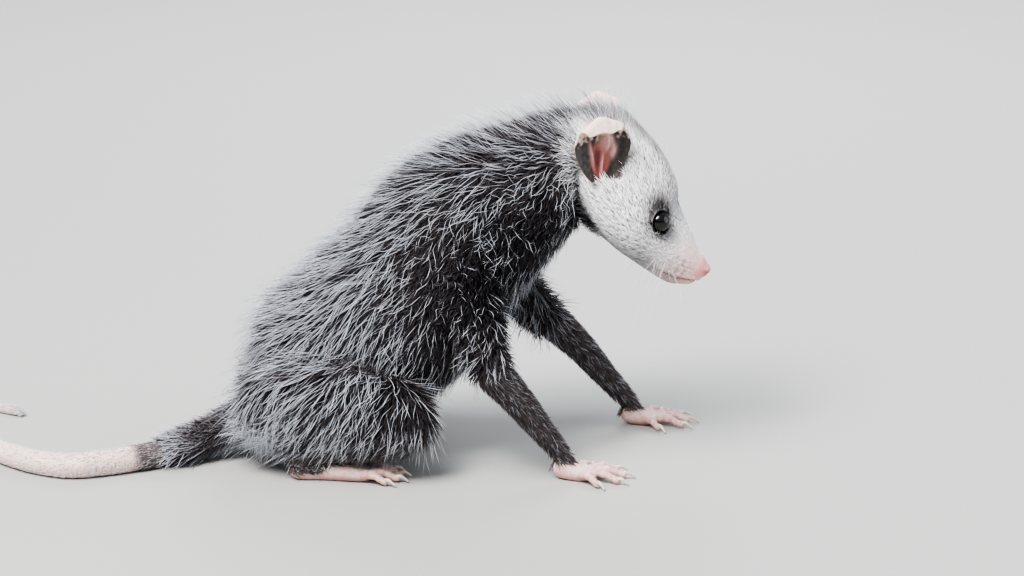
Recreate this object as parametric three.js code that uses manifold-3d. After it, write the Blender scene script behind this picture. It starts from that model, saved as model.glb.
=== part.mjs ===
// A young Virginia opossum, life size, propped on its forelegs with its haunches and tail on the ground.
// Millimetres, +Z up. It faces +X, and its left side is towards +Y.
// The body is a run of smooth forms, parted by thin cuts where a person would name its parts, and the long
// hairs of the coat are gathered into flat tapered locks that lie along it.
import * as THREE from "three";
import { mergeVertices } from "three/addons/utils/BufferGeometryUtils.js";
import Module from "manifold-3d";

const wasm = await Module();
wasm.setup();

const GAP = 0.3; // between pieces that touch
const COAT_TIPS = 5; // how far the tips of the locks stand above the felted underfur
const LIMB_TIPS = 4.2; // the same on a limb
const HAUNCH_TIPS = 7; // the same on a thigh
const NAPE_TIPS = 8; // the same on the neck, where the hair stands up
const COAT_ZONE = 4.6; // the room over an arm that is kept for its own locks
const HAUNCH_ZONE = 7.4; // the same over a thigh
const LOCK_FLOOR = 0.8; // the lowest that the tip of a lock reaches
const LEFT = 1;
const RIGHT = -1;

const paint = {
  coat: { color: 0x5d5b60, roughness: 0.9, metalness: 0 },
  face: { color: 0xd9d8d6, roughness: 0.85, metalness: 0 },
  skin: { color: 0xe8c4bd, roughness: 0.6, metalness: 0 },
  limb: { color: 0x57504f, roughness: 0.85, metalness: 0 },
  ear: { color: 0xddc5ba, roughness: 0.6, metalness: 0 },
  eye: { color: 0x0a0808, roughness: 0.08, metalness: 0 },
  nose: { color: 0xe58f92, roughness: 0.45, metalness: 0 },
  darkTail: { color: 0x4c4447, roughness: 0.8, metalness: 0 },
  paleTail: { color: 0xe6cbc4, roughness: 0.7, metalness: 0 },
};

// A closed solid from a three.js geometry with shared corners
function solid(geometry) {
  return new wasm.Manifold(
    new wasm.Mesh({
      numProp: 3,
      vertProperties: new Float32Array(geometry.attributes.position.array),
      triVerts: new Uint32Array(geometry.index.array),
    }),
  );
}

// The same for one of three.js's own shapes, whose seams are still open
function builtIn(geometry) {
  geometry.deleteAttribute("normal");
  geometry.deleteAttribute("uv");
  return solid(mergeVertices(geometry, 1e-4));
}

function triangles(positions, faces) {
  const geometry = new THREE.BufferGeometry();
  geometry.setAttribute("position", new THREE.Float32BufferAttribute(positions, 3));
  geometry.setIndex(faces);
  return geometry;
}

// Closes a tube of rings with a pole at each end. Each ring runs anticlockwise, seen from the last one.
function closeRings(rings, firstPole, lastPole) {
  const sides = rings[0].length;
  const positions = [...rings.flat(), firstPole, lastPole].flatMap((p) => [p.x, p.y, p.z]);
  const first = rings.length * sides;
  const faces = [];
  for (let j = 0; j < sides; j++) {
    const next = (j + 1) % sides;
    for (let i = 0; i + 1 < rings.length; i++) {
      const a = i * sides + j;
      const b = i * sides + next;
      faces.push(a, a + sides, b, b, a + sides, b + sides);
    }
    const last = (rings.length - 1) * sides;
    faces.push(first, j, next, first + 1, last + next, last + j);
  }
  return triangles(positions, faces);
}

// A form swept along a smooth line. A station is [x, y, z, wide, up, down] and, where the upper half of the
// section isn't round, the power of its curve: 2 is an ellipse and 1 a ridge with straight sides.
class Form {
  constructor(stations, { rings, sides, side = new THREE.Vector3(0, 1, 0) }) {
    const curve = (pick) => new THREE.CatmullRomCurve3(stations.map(pick), false, "catmullrom");
    this.line = curve(([x, y, z]) => new THREE.Vector3(x, y, z));
    this.sizes = curve(([, , , wide, up, down]) => new THREE.Vector3(wide, up, down));
    this.powers = curve(([, , , , , , power = 2]) => new THREE.Vector3(power, 0, 0));
    this.detail = { rings, sides };
    this.side = side;
  }
  axes(u) {
    const along = this.line.getTangent(u);
    const side = this.side.clone().addScaledVector(along, -this.side.dot(along)).normalize();
    return { along, side, up: along.clone().cross(side) };
  }
  // angle runs from 0 at the top towards the side axis, and swell is the distance out from the form
  point(u, angle, swell = 0) {
    const inside = THREE.MathUtils.clamp(u, 0, 1);
    const { side, up } = this.axes(inside);
    const { x: wide, y: high, z: low } = this.sizes.getPoint(inside);
    const s = Math.sin(angle);
    const c = Math.cos(angle);
    const power = c > 0 ? this.powers.getPoint(inside).x : 2;
    const bend = (value) => Math.sign(value) * Math.abs(value) ** (2 / power);
    return this.line
      .getPoint(inside)
      .addScaledVector(side, (Math.max(wide, 0.05) + swell) * bend(s))
      .addScaledVector(up, (Math.max(c > 0 ? high : low, 0.05) + swell) * bend(c));
  }
  // How the surface runs along the line and around it
  slopes(u, angle) {
    const step = 0.01;
    const [before, after] = [Math.max(u - step, 0), Math.min(u + step, 1)];
    const along = this.point(after, angle).sub(this.point(before, angle)).divideScalar(after - before);
    const around = this.point(u, angle + step).sub(this.point(u, angle - step)).divideScalar(2 * step);
    return { along, around, normal: new THREE.Vector3().crossVectors(along, around).normalize() };
  }
  // Rings lie closer together towards rounded ends
  geometry({ from = 0, to = 1, swell = 0, ends = true, rings = this.detail.rings } = {}) {
    const { sides } = this.detail;
    const spread = (k) => (ends ? 0.5 - 0.5 * Math.cos(Math.PI * k) : k);
    const list = [];
    for (let i = 0; i <= rings; i++) {
      const u = from + (to - from) * spread(i / rings);
      const ring = [];
      for (let j = 0; j < sides; j++) ring.push(this.point(u, (2 * Math.PI * j) / sides, swell));
      list.push(ring);
    }
    const pole = (u, out) => this.line.getPoint(u).addScaledVector(this.axes(u).along, out);
    return closeRings(list, pole(from, -swell), pole(to, swell));
  }
  solid(options) {
    return solid(this.geometry(options));
  }
}

function join(pieces) {
  return wasm.Manifold.union(pieces);
}

function ball(centre, radius, across = 12, high = 9) {
  return builtIn(new THREE.SphereGeometry(radius, across, high).translate(centre.x, centre.y, centre.z));
}

// Everything under the ground, to cut the soles and the tail flat
const GROUND_SIZE = 600;
const ground = builtIn(
  new THREE.BoxGeometry(GROUND_SIZE, GROUND_SIZE, GROUND_SIZE).translate(0, 0, -GROUND_SIZE / 2),
);

const root = new THREE.Group();
root.name = "opossum";

// Keeps the largest closed surface, which drops loose scraps and fills a hollow that is sealed
function add(name, made, material, parent = root) {
  const kept = made.decompose().reduce((best, piece) => (piece.volume() > best.volume() ? piece : best));
  const { vertProperties, triVerts, numProp } = kept.getMesh();
  const corners = [];
  for (let i = 0; i < vertProperties.length; i += numProp) corners.push(...vertProperties.slice(i, i + 3));
  const mesh = new THREE.Mesh(
    triangles(corners, [...triVerts]),
    new THREE.MeshStandardMaterial(paint[material]),
  );
  mesh.name = name;
  parent.add(mesh);
}

// A seeded draw, so that the coat comes out the same each time
let seed = 20241;
function random() {
  seed = (seed * 1664525 + 1013904223) % 4294967296;
  return seed / 4294967296;
}

// One flat, tapered lock, rooted in a form and bent along it. lie is the way that it runs, and it ends
// before the share of the form given by stop.
const LOCK_ROOT_DEPTH = 1.4;
const LOCK_SHORTEST = 6;
const LOCK_RINGS = [
  { at: 0, width: 0.9, thick: 0.9 },
  { at: 0.52, width: 0.95, thick: 1 },
];
function lock(form, u, angle, lie, { length, width, thick = 1.5, tips = COAT_TIPS, stop = 0 }) {
  const { along, around, normal } = form.slopes(u, angle);
  const way = lie.clone().addScaledVector(normal, -lie.dot(normal)).normalize();
  // The run in the form's own coordinates, from way = du * along + dAngle * around
  const [aa, ab, bb] = [along.dot(along), along.dot(around), around.dot(around)];
  const [wa, wb] = [way.dot(along), way.dot(around)];
  const du = (wa * bb - wb * ab) / (aa * bb - ab * ab);
  const dAngle = (wb * aa - wa * ab) / (aa * bb - ab * ab);
  const start = form.point(u, angle);
  const drop = way.z < 0 ? (start.z - LOCK_FLOOR) / -way.z : length;
  const reach = du < 0 ? (u - stop) / -du : length;
  const run = Math.min(length, drop, reach);
  if (run < LOCK_SHORTEST) return null;
  const trace = (t) => {
    const height = -LOCK_ROOT_DEPTH + (tips + LOCK_ROOT_DEPTH) * t ** 1.2;
    return form.point(u + du * run * t, angle + dAngle * run * t, height);
  };
  const across = new THREE.Vector3().crossVectors(way, normal).normalize();
  const rings = LOCK_RINGS.map(({ at, width: w, thick: h }) => {
    const centre = trace(at);
    const out = form.slopes(THREE.MathUtils.clamp(u + du * run * at, 0, 1), angle + dAngle * run * at).normal;
    const corner = (x, y) => centre.clone().addScaledVector(across, x).addScaledVector(out, y);
    return [corner(0, thick * h), corner((-width * w) / 2, 0), corner((width * w) / 2, 0)];
  });
  return solid(closeRings(rings, trace(0), trace(1)));
}

// Locks in staggered rows round a form, row mm from one to the next. keep says whether a root belongs.
function coat(form, { from, to, row, apart, lie, keep = () => true, length, ...shape }) {
  const made = [];
  for (let u = to, odd = 0; u >= from; odd = 1 - odd) {
    const { x: wide, y: high, z: low } = form.sizes.getPoint(u);
    const count = Math.max(4, Math.round((Math.PI * (wide + (high + low) / 2)) / apart));
    for (let j = 0; j < count; j++) {
      const angle = ((j + odd / 2 + 0.3 * (random() - 0.5)) * 2 * Math.PI) / count;
      const place = form.point(u, angle);
      const long = length * (1 + 0.24 * (random() - 0.5));
      const turn = 0.3 * (random() - 0.5);
      if (!keep(place)) continue;
      const { normal } = form.slopes(u, angle);
      const piece = lock(form, u, angle, lie(place, normal).applyAxisAngle(normal, turn), {
        ...shape,
        length: long,
      });
      if (piece) made.push(piece);
    }
    u -= row / form.slopes(u, 0.5 * Math.PI).along.length();
  }
  return join(made);
}
const outside = (room) => (place) => ball(place, 0.2, 4, 2).intersect(room).isEmpty();

// Trunk: one form from the furry root of the tail to the skull
const spine = new Form(
  [
    [-71.5, -12.7, 4.35, 4.3, 4.2, 4.15],
    [-66, -9.8, 5.1, 4.8, 4.6, 4.6],
    [-60.5, -6.9, 6.5, 5.3, 5.1, 5],
    [-54.5, -4, 8.8, 6.2, 5.7, 5.8],
    [-48, -1.8, 12, 8.5, 6.3, 8],
    [-42, -1, 16, 12.5, 7.8, 12.3],
    [-35, -0.5, 21, 18, 15, 15.5],
    [-24, 0, 29.5, 23.5, 24.5, 21],
    [-9, 0, 38, 26, 27.5, 26],
    [6, 0, 51, 25.5, 28.5, 26],
    [20, 0, 66.5, 23.5, 29.3, 22.5],
    [32, 0.5, 78, 21, 25, 21],
    [42, 1, 85.5, 18.5, 19, 19],
    [52, 2, 90.5, 16, 15.8, 17],
    [61, 3, 91, 12, 12, 13],
  ],
  { rings: 14, sides: 20 },
);
// Shares of the spine where the tail's root and the neck are parted from the torso
const TAIL_CUT = 0.3;
const NECK_CUT = 0.811;
const SPINE_GAP = GAP / 2 / spine.line.getLength();
const TRUNK = {
  tail_base: { from: 0, to: TAIL_CUT - SPINE_GAP, rings: 7, ends: false },
  torso: { from: TAIL_CUT + SPINE_GAP, to: NECK_CUT - SPINE_GAP, rings: 16, ends: false },
  neck: { from: NECK_CUT + SPINE_GAP, to: 1, rings: 7, ends: false },
};
const tailBaseRoom = spine.solid({ ...TRUNK.tail_base, swell: GAP });
const torsoRoom = spine.solid({ ...TRUNK.torso, swell: GAP });
const neckRoom = spine.solid({ ...TRUNK.neck, swell: GAP });

// Head, in its own frame: distances back from the nose tip along the skull, sideways, and up to the crown
const NOSE_TIP = new THREE.Vector3(93.3, 3, 57.5);
const HEAD_PITCH = THREE.MathUtils.degToRad(46.2); // nose down
const HEAD_LENGTH = 61;
const toWorld = new THREE.Matrix4()
  .makeTranslation(NOSE_TIP)
  .multiply(new THREE.Matrix4().makeRotationY(HEAD_PITCH));
const onHead = (back, side, up) => new THREE.Vector3(-back, side, up).applyMatrix4(toWorld);
// back, level of the widest point, half-width, height over that level, depth under it, power of the top
const SKULL = [
  [HEAD_LENGTH, 1, 5, 5, 5, 2],
  [58.5, 0, 10.5, 9.5, 9.5, 2],
  [53, -1.5, 15, 15, 12.5, 2],
  [45, -3.5, 17.6, 17.6, 13, 2],
  [37, -5.5, 18.4, 18.6, 11.6, 1.9],
  [30, -7, 17.4, 18, 9.8, 1.75],
  [24, -7.8, 15.4, 15.8, 8.2, 1.6],
  [19, -7.8, 13, 13.7, 7.2, 1.6],
  [14, -7.4, 10.5, 11.8, 6.6, 1.7],
  [9, -6.6, 8.2, 9.4, 6, 1.9],
  [5, -5.2, 6.3, 7, 4.9, 2],
  [1.8, -3.6, 4.4, 4.6, 3.4, 2],
  [0.6, -3.2, 2.6, 2.8, 2.2, 2],
];
const head = new Form(
  SKULL.map(([back, level, wide, up, down, power]) => [...onHead(back, 0, level), wide, up, down, power]),
  { rings: 19, sides: 16 },
);
const headRoom = head.solid({ swell: GAP, ends: false });

// The size of the head's section at a distance behind the nose
function section(back) {
  const k = SKULL.findIndex(([at]) => at <= back);
  const share = (back - SKULL[k][0]) / (SKULL[k - 1][0] - SKULL[k][0]);
  const [level, wide, , down] = [1, 2, 3, 4].map((i) =>
    THREE.MathUtils.lerp(SKULL[k][i], SKULL[k - 1][i], share),
  );
  return { level, wide, down };
}

// Eyes, sunk in sockets with a lid round each
const EYE = { back: 23.2, side: 10.1, up: -0.2, radius: 3.3 };
const LID = { radius: 3.5, tube: 0.65, out: 1.2 };
const eyes = [RIGHT, LEFT].map((side) => {
  const centre = onHead(EYE.back, side * EYE.side, EYE.up);
  const look = onHead(EYE.back - 0.45, side * (EYE.side + 0.8), EYE.up + 0.4).sub(centre).normalize();
  return { side, centre, look };
});
const sockets = join(eyes.map(({ centre }) => ball(centre, EYE.radius + GAP, 12, 8)));
const lids = eyes.map(({ centre, look }) => {
  const ring = new THREE.TorusGeometry(LID.radius, LID.tube, 5, 14);
  ring.applyQuaternion(new THREE.Quaternion().setFromUnitVectors(new THREE.Vector3(0, 0, 1), look));
  const { x, y, z } = centre.clone().addScaledVector(look, LID.out);
  return builtIn(ring.translate(x, y, z));
});

// The mouth: distance back and level, from the corner to under the nose
const MOUTH = [
  [16, -11.3],
  [12, -10.6],
  [8, -9.3],
  [4.4, -7.5],
];
const MOUTH_FRONT = [1, -5.6];
function mouthCord(rise, radius) {
  const sidePoints = (side) =>
    MOUTH.map(([back, level]) => {
      const { level: widest, wide, down } = section(back);
      const depth = THREE.MathUtils.clamp((widest - level) / down, -1, 1);
      return onHead(back, side * wide * Math.sqrt(1 - depth * depth), level + rise);
    });
  const middle = onHead(MOUTH_FRONT[0], 0, MOUTH_FRONT[1] + rise);
  const path = new THREE.CatmullRomCurve3([...sidePoints(LEFT), middle, ...sidePoints(RIGHT).reverse()]);
  return builtIn(
    new THREE.ExtrudeGeometry(new THREE.Shape().absarc(0, 0, radius, 0, 2 * Math.PI), {
      extrudePath: path,
      steps: 14,
      curveSegments: 5,
      bevelEnabled: false,
    }),
  );
}

// Nose pad with two nostrils
const nosePad = new Form(
  [
    [...onHead(4.2, 0, -1.7), 2.6, 1.5, 2],
    [...onHead(2, 0, -1.9), 3.5, 2.3, 2.4],
    [...onHead(0.2, 0, -2), 3.4, 2.2, 2.3],
    [...onHead(-0.9, 0, -2.1), 1.6, 1.1, 1.2],
  ],
  { rings: 6, sides: 10 },
);
const nostrils = [RIGHT, LEFT].map((side) => {
  const { x, y, z } = onHead(-0.6, side * 2.1, -1.8);
  return builtIn(new THREE.SphereGeometry(0.85, 6, 5).scale(1.25, 1, 0.8).translate(x, y, z));
});

// Ears: thin cups that open to the side and a little forward, with the top folded out and down
const EAR = {
  back: 45.5,
  side: 14,
  up: -3.2,
  height: 17.6,
  arch: 3.2, // how much lower the fold lies at the edges
  halfWidth: 8.6,
  cup: 3.2,
  foldRadius: 1.5,
  foldTurn: 2.6,
  flap: 3.2,
  thick: 0.9,
};
function ear(side) {
  const foot = onHead(EAR.back, side * EAR.side, EAR.up);
  const out = new THREE.Vector3(0.38, side, 0).normalize(); // the way that the cup opens
  const up = new THREE.Vector3(-0.02, side * 0.2, 1).normalize();
  const front = new THREE.Vector3().crossVectors(up, out).normalize().multiplyScalar(-side);
  const arc = EAR.foldRadius * EAR.foldTurn;
  // v runs up the middle of the ear and over its fold, and u from the rear edge to the front edge
  const surface = (u, v) => {
    const rim = EAR.height - EAR.arch * u * u;
    const run = v * (rim + arc + EAR.flap * (1 - 0.5 * u * u));
    const turned = THREE.MathUtils.clamp((run - rim) / EAR.foldRadius, 0, EAR.foldTurn);
    const past = Math.max(0, run - rim - arc);
    const rise = Math.min(run, rim) + EAR.foldRadius * Math.sin(turned) + past * Math.cos(turned);
    const lean = EAR.foldRadius * (1 - Math.cos(turned)) + past * Math.sin(turned);
    const wide = EAR.halfWidth * Math.sin(Math.PI * (0.11 + 0.72 * v)) ** 0.8;
    const cupped = EAR.cup * u * u * (1 - 0.6 * v);
    return foot.clone().addScaledVector(up, rise).addScaledVector(out, lean + cupped).addScaledVector(front, wide * u);
  };
  const ridge = surface(0.1, 0.5).addScaledVector(out, 0.9);
  const fold = new THREE.SphereGeometry(1, 7, 5).scale(1.6, 1.5, 3);
  return { out, up, foot, plate: join([shell(surface), builtIn(fold.translate(ridge.x, ridge.y, ridge.z))]) };
}
// A thin shell of even thickness over a surface
function shell(surface, across = 6, along = 10) {
  const point = (i, j, out) => {
    const [u, v] = [(2 * i) / across - 1, j / along];
    const step = 0.02;
    const du = surface(Math.min(u + step, 1), v).sub(surface(Math.max(u - step, -1), v));
    const dv = surface(u, Math.min(v + step, 1)).sub(surface(u, Math.max(v - step, 0)));
    return surface(u, v).addScaledVector(du.cross(dv).normalize(), out);
  };
  const rings = [];
  for (let j = 0; j <= along; j++) {
    const ring = [];
    for (let i = 0; i <= across; i++) ring.push(point(i, j, EAR.thick / 2));
    for (let i = across; i >= 0; i--) ring.push(point(i, j, -EAR.thick / 2));
    rings.push(ring);
  }
  const middle = (v) => surface(0, v);
  const made = solid(closeRings(rings, middle(0), middle(1)));
  return made.volume() > 0 ? made : solid(closeRings(rings.reverse(), middle(1), middle(0)));
}
const ears = { [RIGHT]: ear(RIGHT), [LEFT]: ear(LEFT) };
// The hollow of each ear runs on into the side of the head
const EAR_HOLLOW = { radius: 5.6, up: 6.5, out: 5.4 };
const earHollows = (shrink) =>
  join(
    [RIGHT, LEFT].map((side) => {
      const { foot, up, out } = ears[side];
      const centre = foot.clone().addScaledVector(up, EAR_HOLLOW.up).addScaledVector(out, EAR_HOLLOW.out);
      return ball(centre, EAR_HOLLOW.radius - shrink, 12, 8);
    }),
  );
const earZones = join(
  [RIGHT, LEFT].map((side) => {
    const { foot, up, out } = ears[side];
    return ball(foot.clone().addScaledVector(up, 9).addScaledVector(out, 4), 11.5, 10, 8);
  }),
);

// Limbs. Each list is for the right side; across is turned over for the left.
const limb = (stations, side, detail) => new Form(stations.map(([x, y, ...rest]) => [x, side * y, ...rest]), detail);
const THIGH = [
  [-45, 11, 20, 4, 7, 7],
  [-39.5, 14.5, 20.5, 8.5, 13, 12],
  [-29, 18.5, 21.5, 11.5, 17.5, 14.6],
  [-15, 21.5, 22, 12.2, 17.5, 15.2],
  [-4, 23.5, 21, 11, 14, 14],
  [4, 25, 18.5, 8, 10, 10.5],
  [8.5, 25.5, 16.5, 3.5, 4.5, 5],
];
const SHANK = [
  [6.5, 26, 13.5, 2.5, 2.5, 2.5],
  [3, 26, 14, 5.2, 5.4, 5.6],
  [-6, 26, 12.8, 5.8, 6, 5.8],
  [-17, 25, 10.6, 5, 5, 4.6],
  [-25, 24, 7.8, 4, 4, 3.6],
  [-29, 24, 6, 2.6, 2.6, 2.6],
];
const HIND_FOOT = { x: -29, y: 24, turn: 4 };
const ARM = {
  [RIGHT]: {
    upper: [
      [15, 13, 69, 4, 5, 5],
      [18, 16.5, 62, 8.5, 11, 11],
      [22, 19.5, 51, 8.2, 10, 10],
      [25, 22, 41, 6.8, 8, 8],
      [27, 23.5, 34, 5.6, 6.3, 6.3],
      [28, 24, 29.5, 2.6, 3, 3],
    ],
    fore: [
      [25.5, 24, 36, 2.6, 3, 3],
      [28, 24, 32.5, 4.8, 5.2, 5.2],
      [35, 24.5, 24.5, 4.7, 4.7, 4.7],
      [42, 24.5, 15.5, 3.7, 3.7, 3.7],
      [47.5, 24.5, 8.5, 3, 3, 3],
      [50, 24.5, 5, 2, 2, 2],
    ],
    hand: { x: 48.5, y: 24.5, turn: 6 },
  },
  [LEFT]: {
    upper: [
      [18, 12, 68, 4, 5, 5],
      [23, 15.5, 61.5, 8.5, 11, 11],
      [31, 19.5, 52, 8, 9.5, 9.5],
      [38.5, 23, 42.5, 6.6, 7.6, 7.6],
      [44, 25, 36, 5.4, 6, 6],
      [47, 26, 32.5, 2.6, 3, 3],
    ],
    fore: [
      [42.5, 25.5, 38, 2.6, 3, 3],
      [46, 26, 34.5, 4.8, 5.2, 5.2],
      [54.5, 27, 26, 4.6, 4.6, 4.6],
      [62.5, 28, 16.5, 3.7, 3.7, 3.7],
      [69, 29, 8.8, 3, 3, 3],
      [72, 29.5, 5, 2, 2, 2],
    ],
    hand: { x: 70.5, y: 29.3, turn: 4 },
  },
};
const thighs = {};
const shanks = {};
const upperArms = {};
const forearms = {};
for (const side of [RIGHT, LEFT]) {
  thighs[side] = limb(THIGH, side, { rings: 9, sides: 12 });
  shanks[side] = limb(SHANK, side, { rings: 7, sides: 10 });
  upperArms[side] = limb(ARM[side].upper, side, { rings: 7, sides: 10 });
  forearms[side] = limb(ARM[side].fore, side, { rings: 8, sides: 10 });
}
const both = (forms, swell) => join([forms[RIGHT].solid({ swell }), forms[LEFT].solid({ swell })]);
const thighRoom = both(thighs, GAP);
const thighZone = both(thighs, HAUNCH_ZONE);
const shankRoom = both(shanks, GAP);
const armRoom = both(upperArms, GAP);
const armZone = both(upperArms, COAT_ZONE);
const foreRoom = both(forearms, GAP);

// Hands and feet, in their own frames: the wrist or heel at the origin, toes towards +X, the sole on the ground
const PALM = [
  [-2.5, 0, 4.6, 2.2, 2.2, 2.2],
  [0, 0, 3.8, 3, 2.8, 3.6],
  [4, 0, 2.5, 3.9, 2.2, 3],
  [7.5, 0, 2, 4, 1.7, 2.4],
  [9.5, 0, 1.8, 3, 1.2, 1.5],
];
const SOLE = [
  [-3, 0, 3.2, 2.2, 2.2, 2.4],
  [0, 0, 2.9, 3.4, 3, 3.4],
  [7, 0, 2.6, 3.4, 2.6, 3],
  [14, 0, 2.4, 4.2, 2.3, 2.8],
  [19, 0, 2, 4.4, 1.8, 2.4],
  [21.5, 0, 1.8, 3, 1.2, 1.5],
];
const PAD_DETAIL = { rings: 5, sides: 8 };
// Digits: where each leaves the pad on a right paw, which way it points in degrees, and its length
const FINGERS = [
  { x: 4, y: 2.6, turn: 58, long: 8, claw: true },
  { x: 7.6, y: 2.5, turn: 26, long: 9.5, claw: true },
  { x: 8.6, y: 0.6, turn: 4, long: 10, claw: true },
  { x: 8.2, y: -1.6, turn: -18, long: 9.5, claw: true },
  { x: 5.6, y: -2.8, turn: -46, long: 8.2, claw: true },
];
const TOES = [
  { x: 11, y: 2.8, turn: 72, long: 8.5, claw: false },
  { x: 18.5, y: 2.9, turn: 20, long: 9.6, claw: true },
  { x: 19.6, y: 1, turn: 6, long: 10.2, claw: true },
  { x: 19.4, y: -1.2, turn: -7, long: 10, claw: true },
  { x: 18, y: -3, turn: -22, long: 8.8, claw: true },
];
const DIGIT = { root: 1.45, knuckle: 1.4, tip: 1.15, rise: 3, claw: 3, clawRoot: 0.72 };
function digit({ x, y, turn, long, claw }, side) {
  const angle = THREE.MathUtils.degToRad(turn) * -side;
  const across = new THREE.Vector3(-Math.sin(angle), Math.cos(angle), 0);
  const at = (far, z, radius) => [
    x + far * Math.cos(angle),
    -side * y + far * Math.sin(angle),
    z,
    radius,
    radius,
    radius,
  ];
  const finger = new Form(
    [
      at(-2.5, 2.2, DIGIT.root * 0.8),
      at(0, 2.2, DIGIT.root),
      at(long * 0.45, DIGIT.rise, DIGIT.knuckle),
      at(long * 0.8, 1.6, DIGIT.tip * 1.12),
      at(long, 0.95, DIGIT.tip),
      at(long + 0.6, 0.9, 0.4),
    ],
    { rings: 4, sides: 4, side: across },
  );
  const pieces = [finger.solid()];
  if (claw) {
    const nail = new Form(
      [
        at(long - 0.8, 1.7, DIGIT.clawRoot),
        at(long + DIGIT.claw * 0.5, 1.5, 0.5),
        at(long + DIGIT.claw, 0.5, 0.14),
      ],
      { rings: 2, sides: 4, side: across },
    );
    pieces.push(nail.solid({ ends: false }));
  }
  return pieces;
}

// The tail: [x, y, radius] along the ground, in a half loop with the tip turned back
const TAIL_SINK = 0.93; // centre height as a share of the radius, so that a narrow flat lies on the ground
const tail = new Form(
  [
    [-71, -12.5, 4.15],
    [-79.5, -17, 4],
    [-88, -21, 3.85],
    [-98, -23.3, 3.7],
    [-110, -18, 3.5],
    [-122, -7.5, 3.3],
    [-135, 2.5, 3.1],
    [-147, 13, 2.85],
    [-154, 26, 2.55],
    [-151, 38, 2.25],
    [-141, 43.5, 1.95],
    [-131, 41.8, 1.65],
    [-123.5, 38, 1.35],
    [-121.5, 36.7, 0.5],
  ].map(([x, y, r]) => [x, y, r * TAIL_SINK, r, r, r]),
  { rings: 10, sides: 10, side: new THREE.Vector3(0, 0, 1) },
);
const TAIL_GAP = GAP / tail.line.getLength();
const TAIL_LENGTHS = [
  { name: "tail_dark", from: 0, to: 0.077, rings: 4, material: "darkTail" },
  { name: "tail_upper", from: 0.077 + TAIL_GAP, to: 0.36, rings: 9, material: "paleTail" },
  { name: "tail_middle", from: 0.36 + TAIL_GAP, to: 0.6, rings: 9, material: "paleTail" },
  { name: "tail_lower", from: 0.6 + TAIL_GAP, to: 0.8, rings: 9, material: "paleTail" },
  { name: "tail_tip", from: 0.8 + TAIL_GAP, to: 1, rings: 8, material: "paleTail" },
];

// The way that hair lies: back along the body and down its sides, and down over the haunches
const bodyLie = (place, normal) =>
  new THREE.Vector3(-0.78, 0, -0.35 - 0.55 * Math.abs(normal.y) - 0.5 * Math.max(0, -normal.z));
const neckLie = (place, normal) => new THREE.Vector3(-1, 0, -0.2 - 0.6 * Math.abs(normal.y));
const haunchLie = (place) => new THREE.Vector3(-0.75 + 0.022 * (place.x + 30), 0, -0.8);
const armLie = () => new THREE.Vector3(-0.5, 0, -0.85);
const tailLie = () => new THREE.Vector3(-1, -0.5, -0.25);

// Torso
const neighbours = join([thighZone, armZone, shankRoom, foreRoom]);
const clearOfLimbs = outside(neighbours);
const torsoLocks = coat(spine, {
  from: TAIL_CUT + 0.045,
  to: NECK_CUT - 0.01,
  row: 16,
  apart: 14.5,
  lie: bodyLie,
  keep: (place) => place.z > 9 && clearOfLimbs(place),
  length: 22,
  width: 13.5,
  stop: TAIL_CUT + SPINE_GAP,
});
add(
  "torso",
  join([spine.solid(TRUNK.torso), torsoLocks.subtract(neighbours)]).subtract(
    join([thighRoom, armRoom, shankRoom]),
  ),
  "coat",
);

// Neck
const neckLocks = coat(spine, {
  from: NECK_CUT + 0.05,
  to: 0.95,
  row: 9.5,
  apart: 11,
  lie: neckLie,
  keep: outside(join([headRoom, earZones])),
  length: 16,
  width: 10,
  tips: NAPE_TIPS,
  stop: NECK_CUT + SPINE_GAP,
});
add(
  "neck",
  join([spine.solid(TRUNK.neck), neckLocks.subtract(join([armZone, earZones]))]).subtract(
    join([headRoom, armRoom]),
  ),
  "coat",
);

// Head
add(
  "head",
  join([head.solid({ ends: false }), ...lids, mouthCord(0.9, 0.62)]).subtract(
    join([sockets, nosePad.solid({ swell: GAP }), mouthCord(0, 0.5), earHollows(0)]),
  ),
  "face",
);
add("nose", nosePad.solid().subtract(join(nostrils)), "nose");
for (const { side, centre } of eyes)
  add(side === LEFT ? "eye_left" : "eye_right", ball(centre, EYE.radius, 12, 8), "eye");
const headFit = headRoom.subtract(earHollows(GAP));
for (const side of [RIGHT, LEFT])
  add(side === LEFT ? "ear_left" : "ear_right", ears[side].plate.subtract(join([headFit, neckRoom])), "ear");

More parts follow.
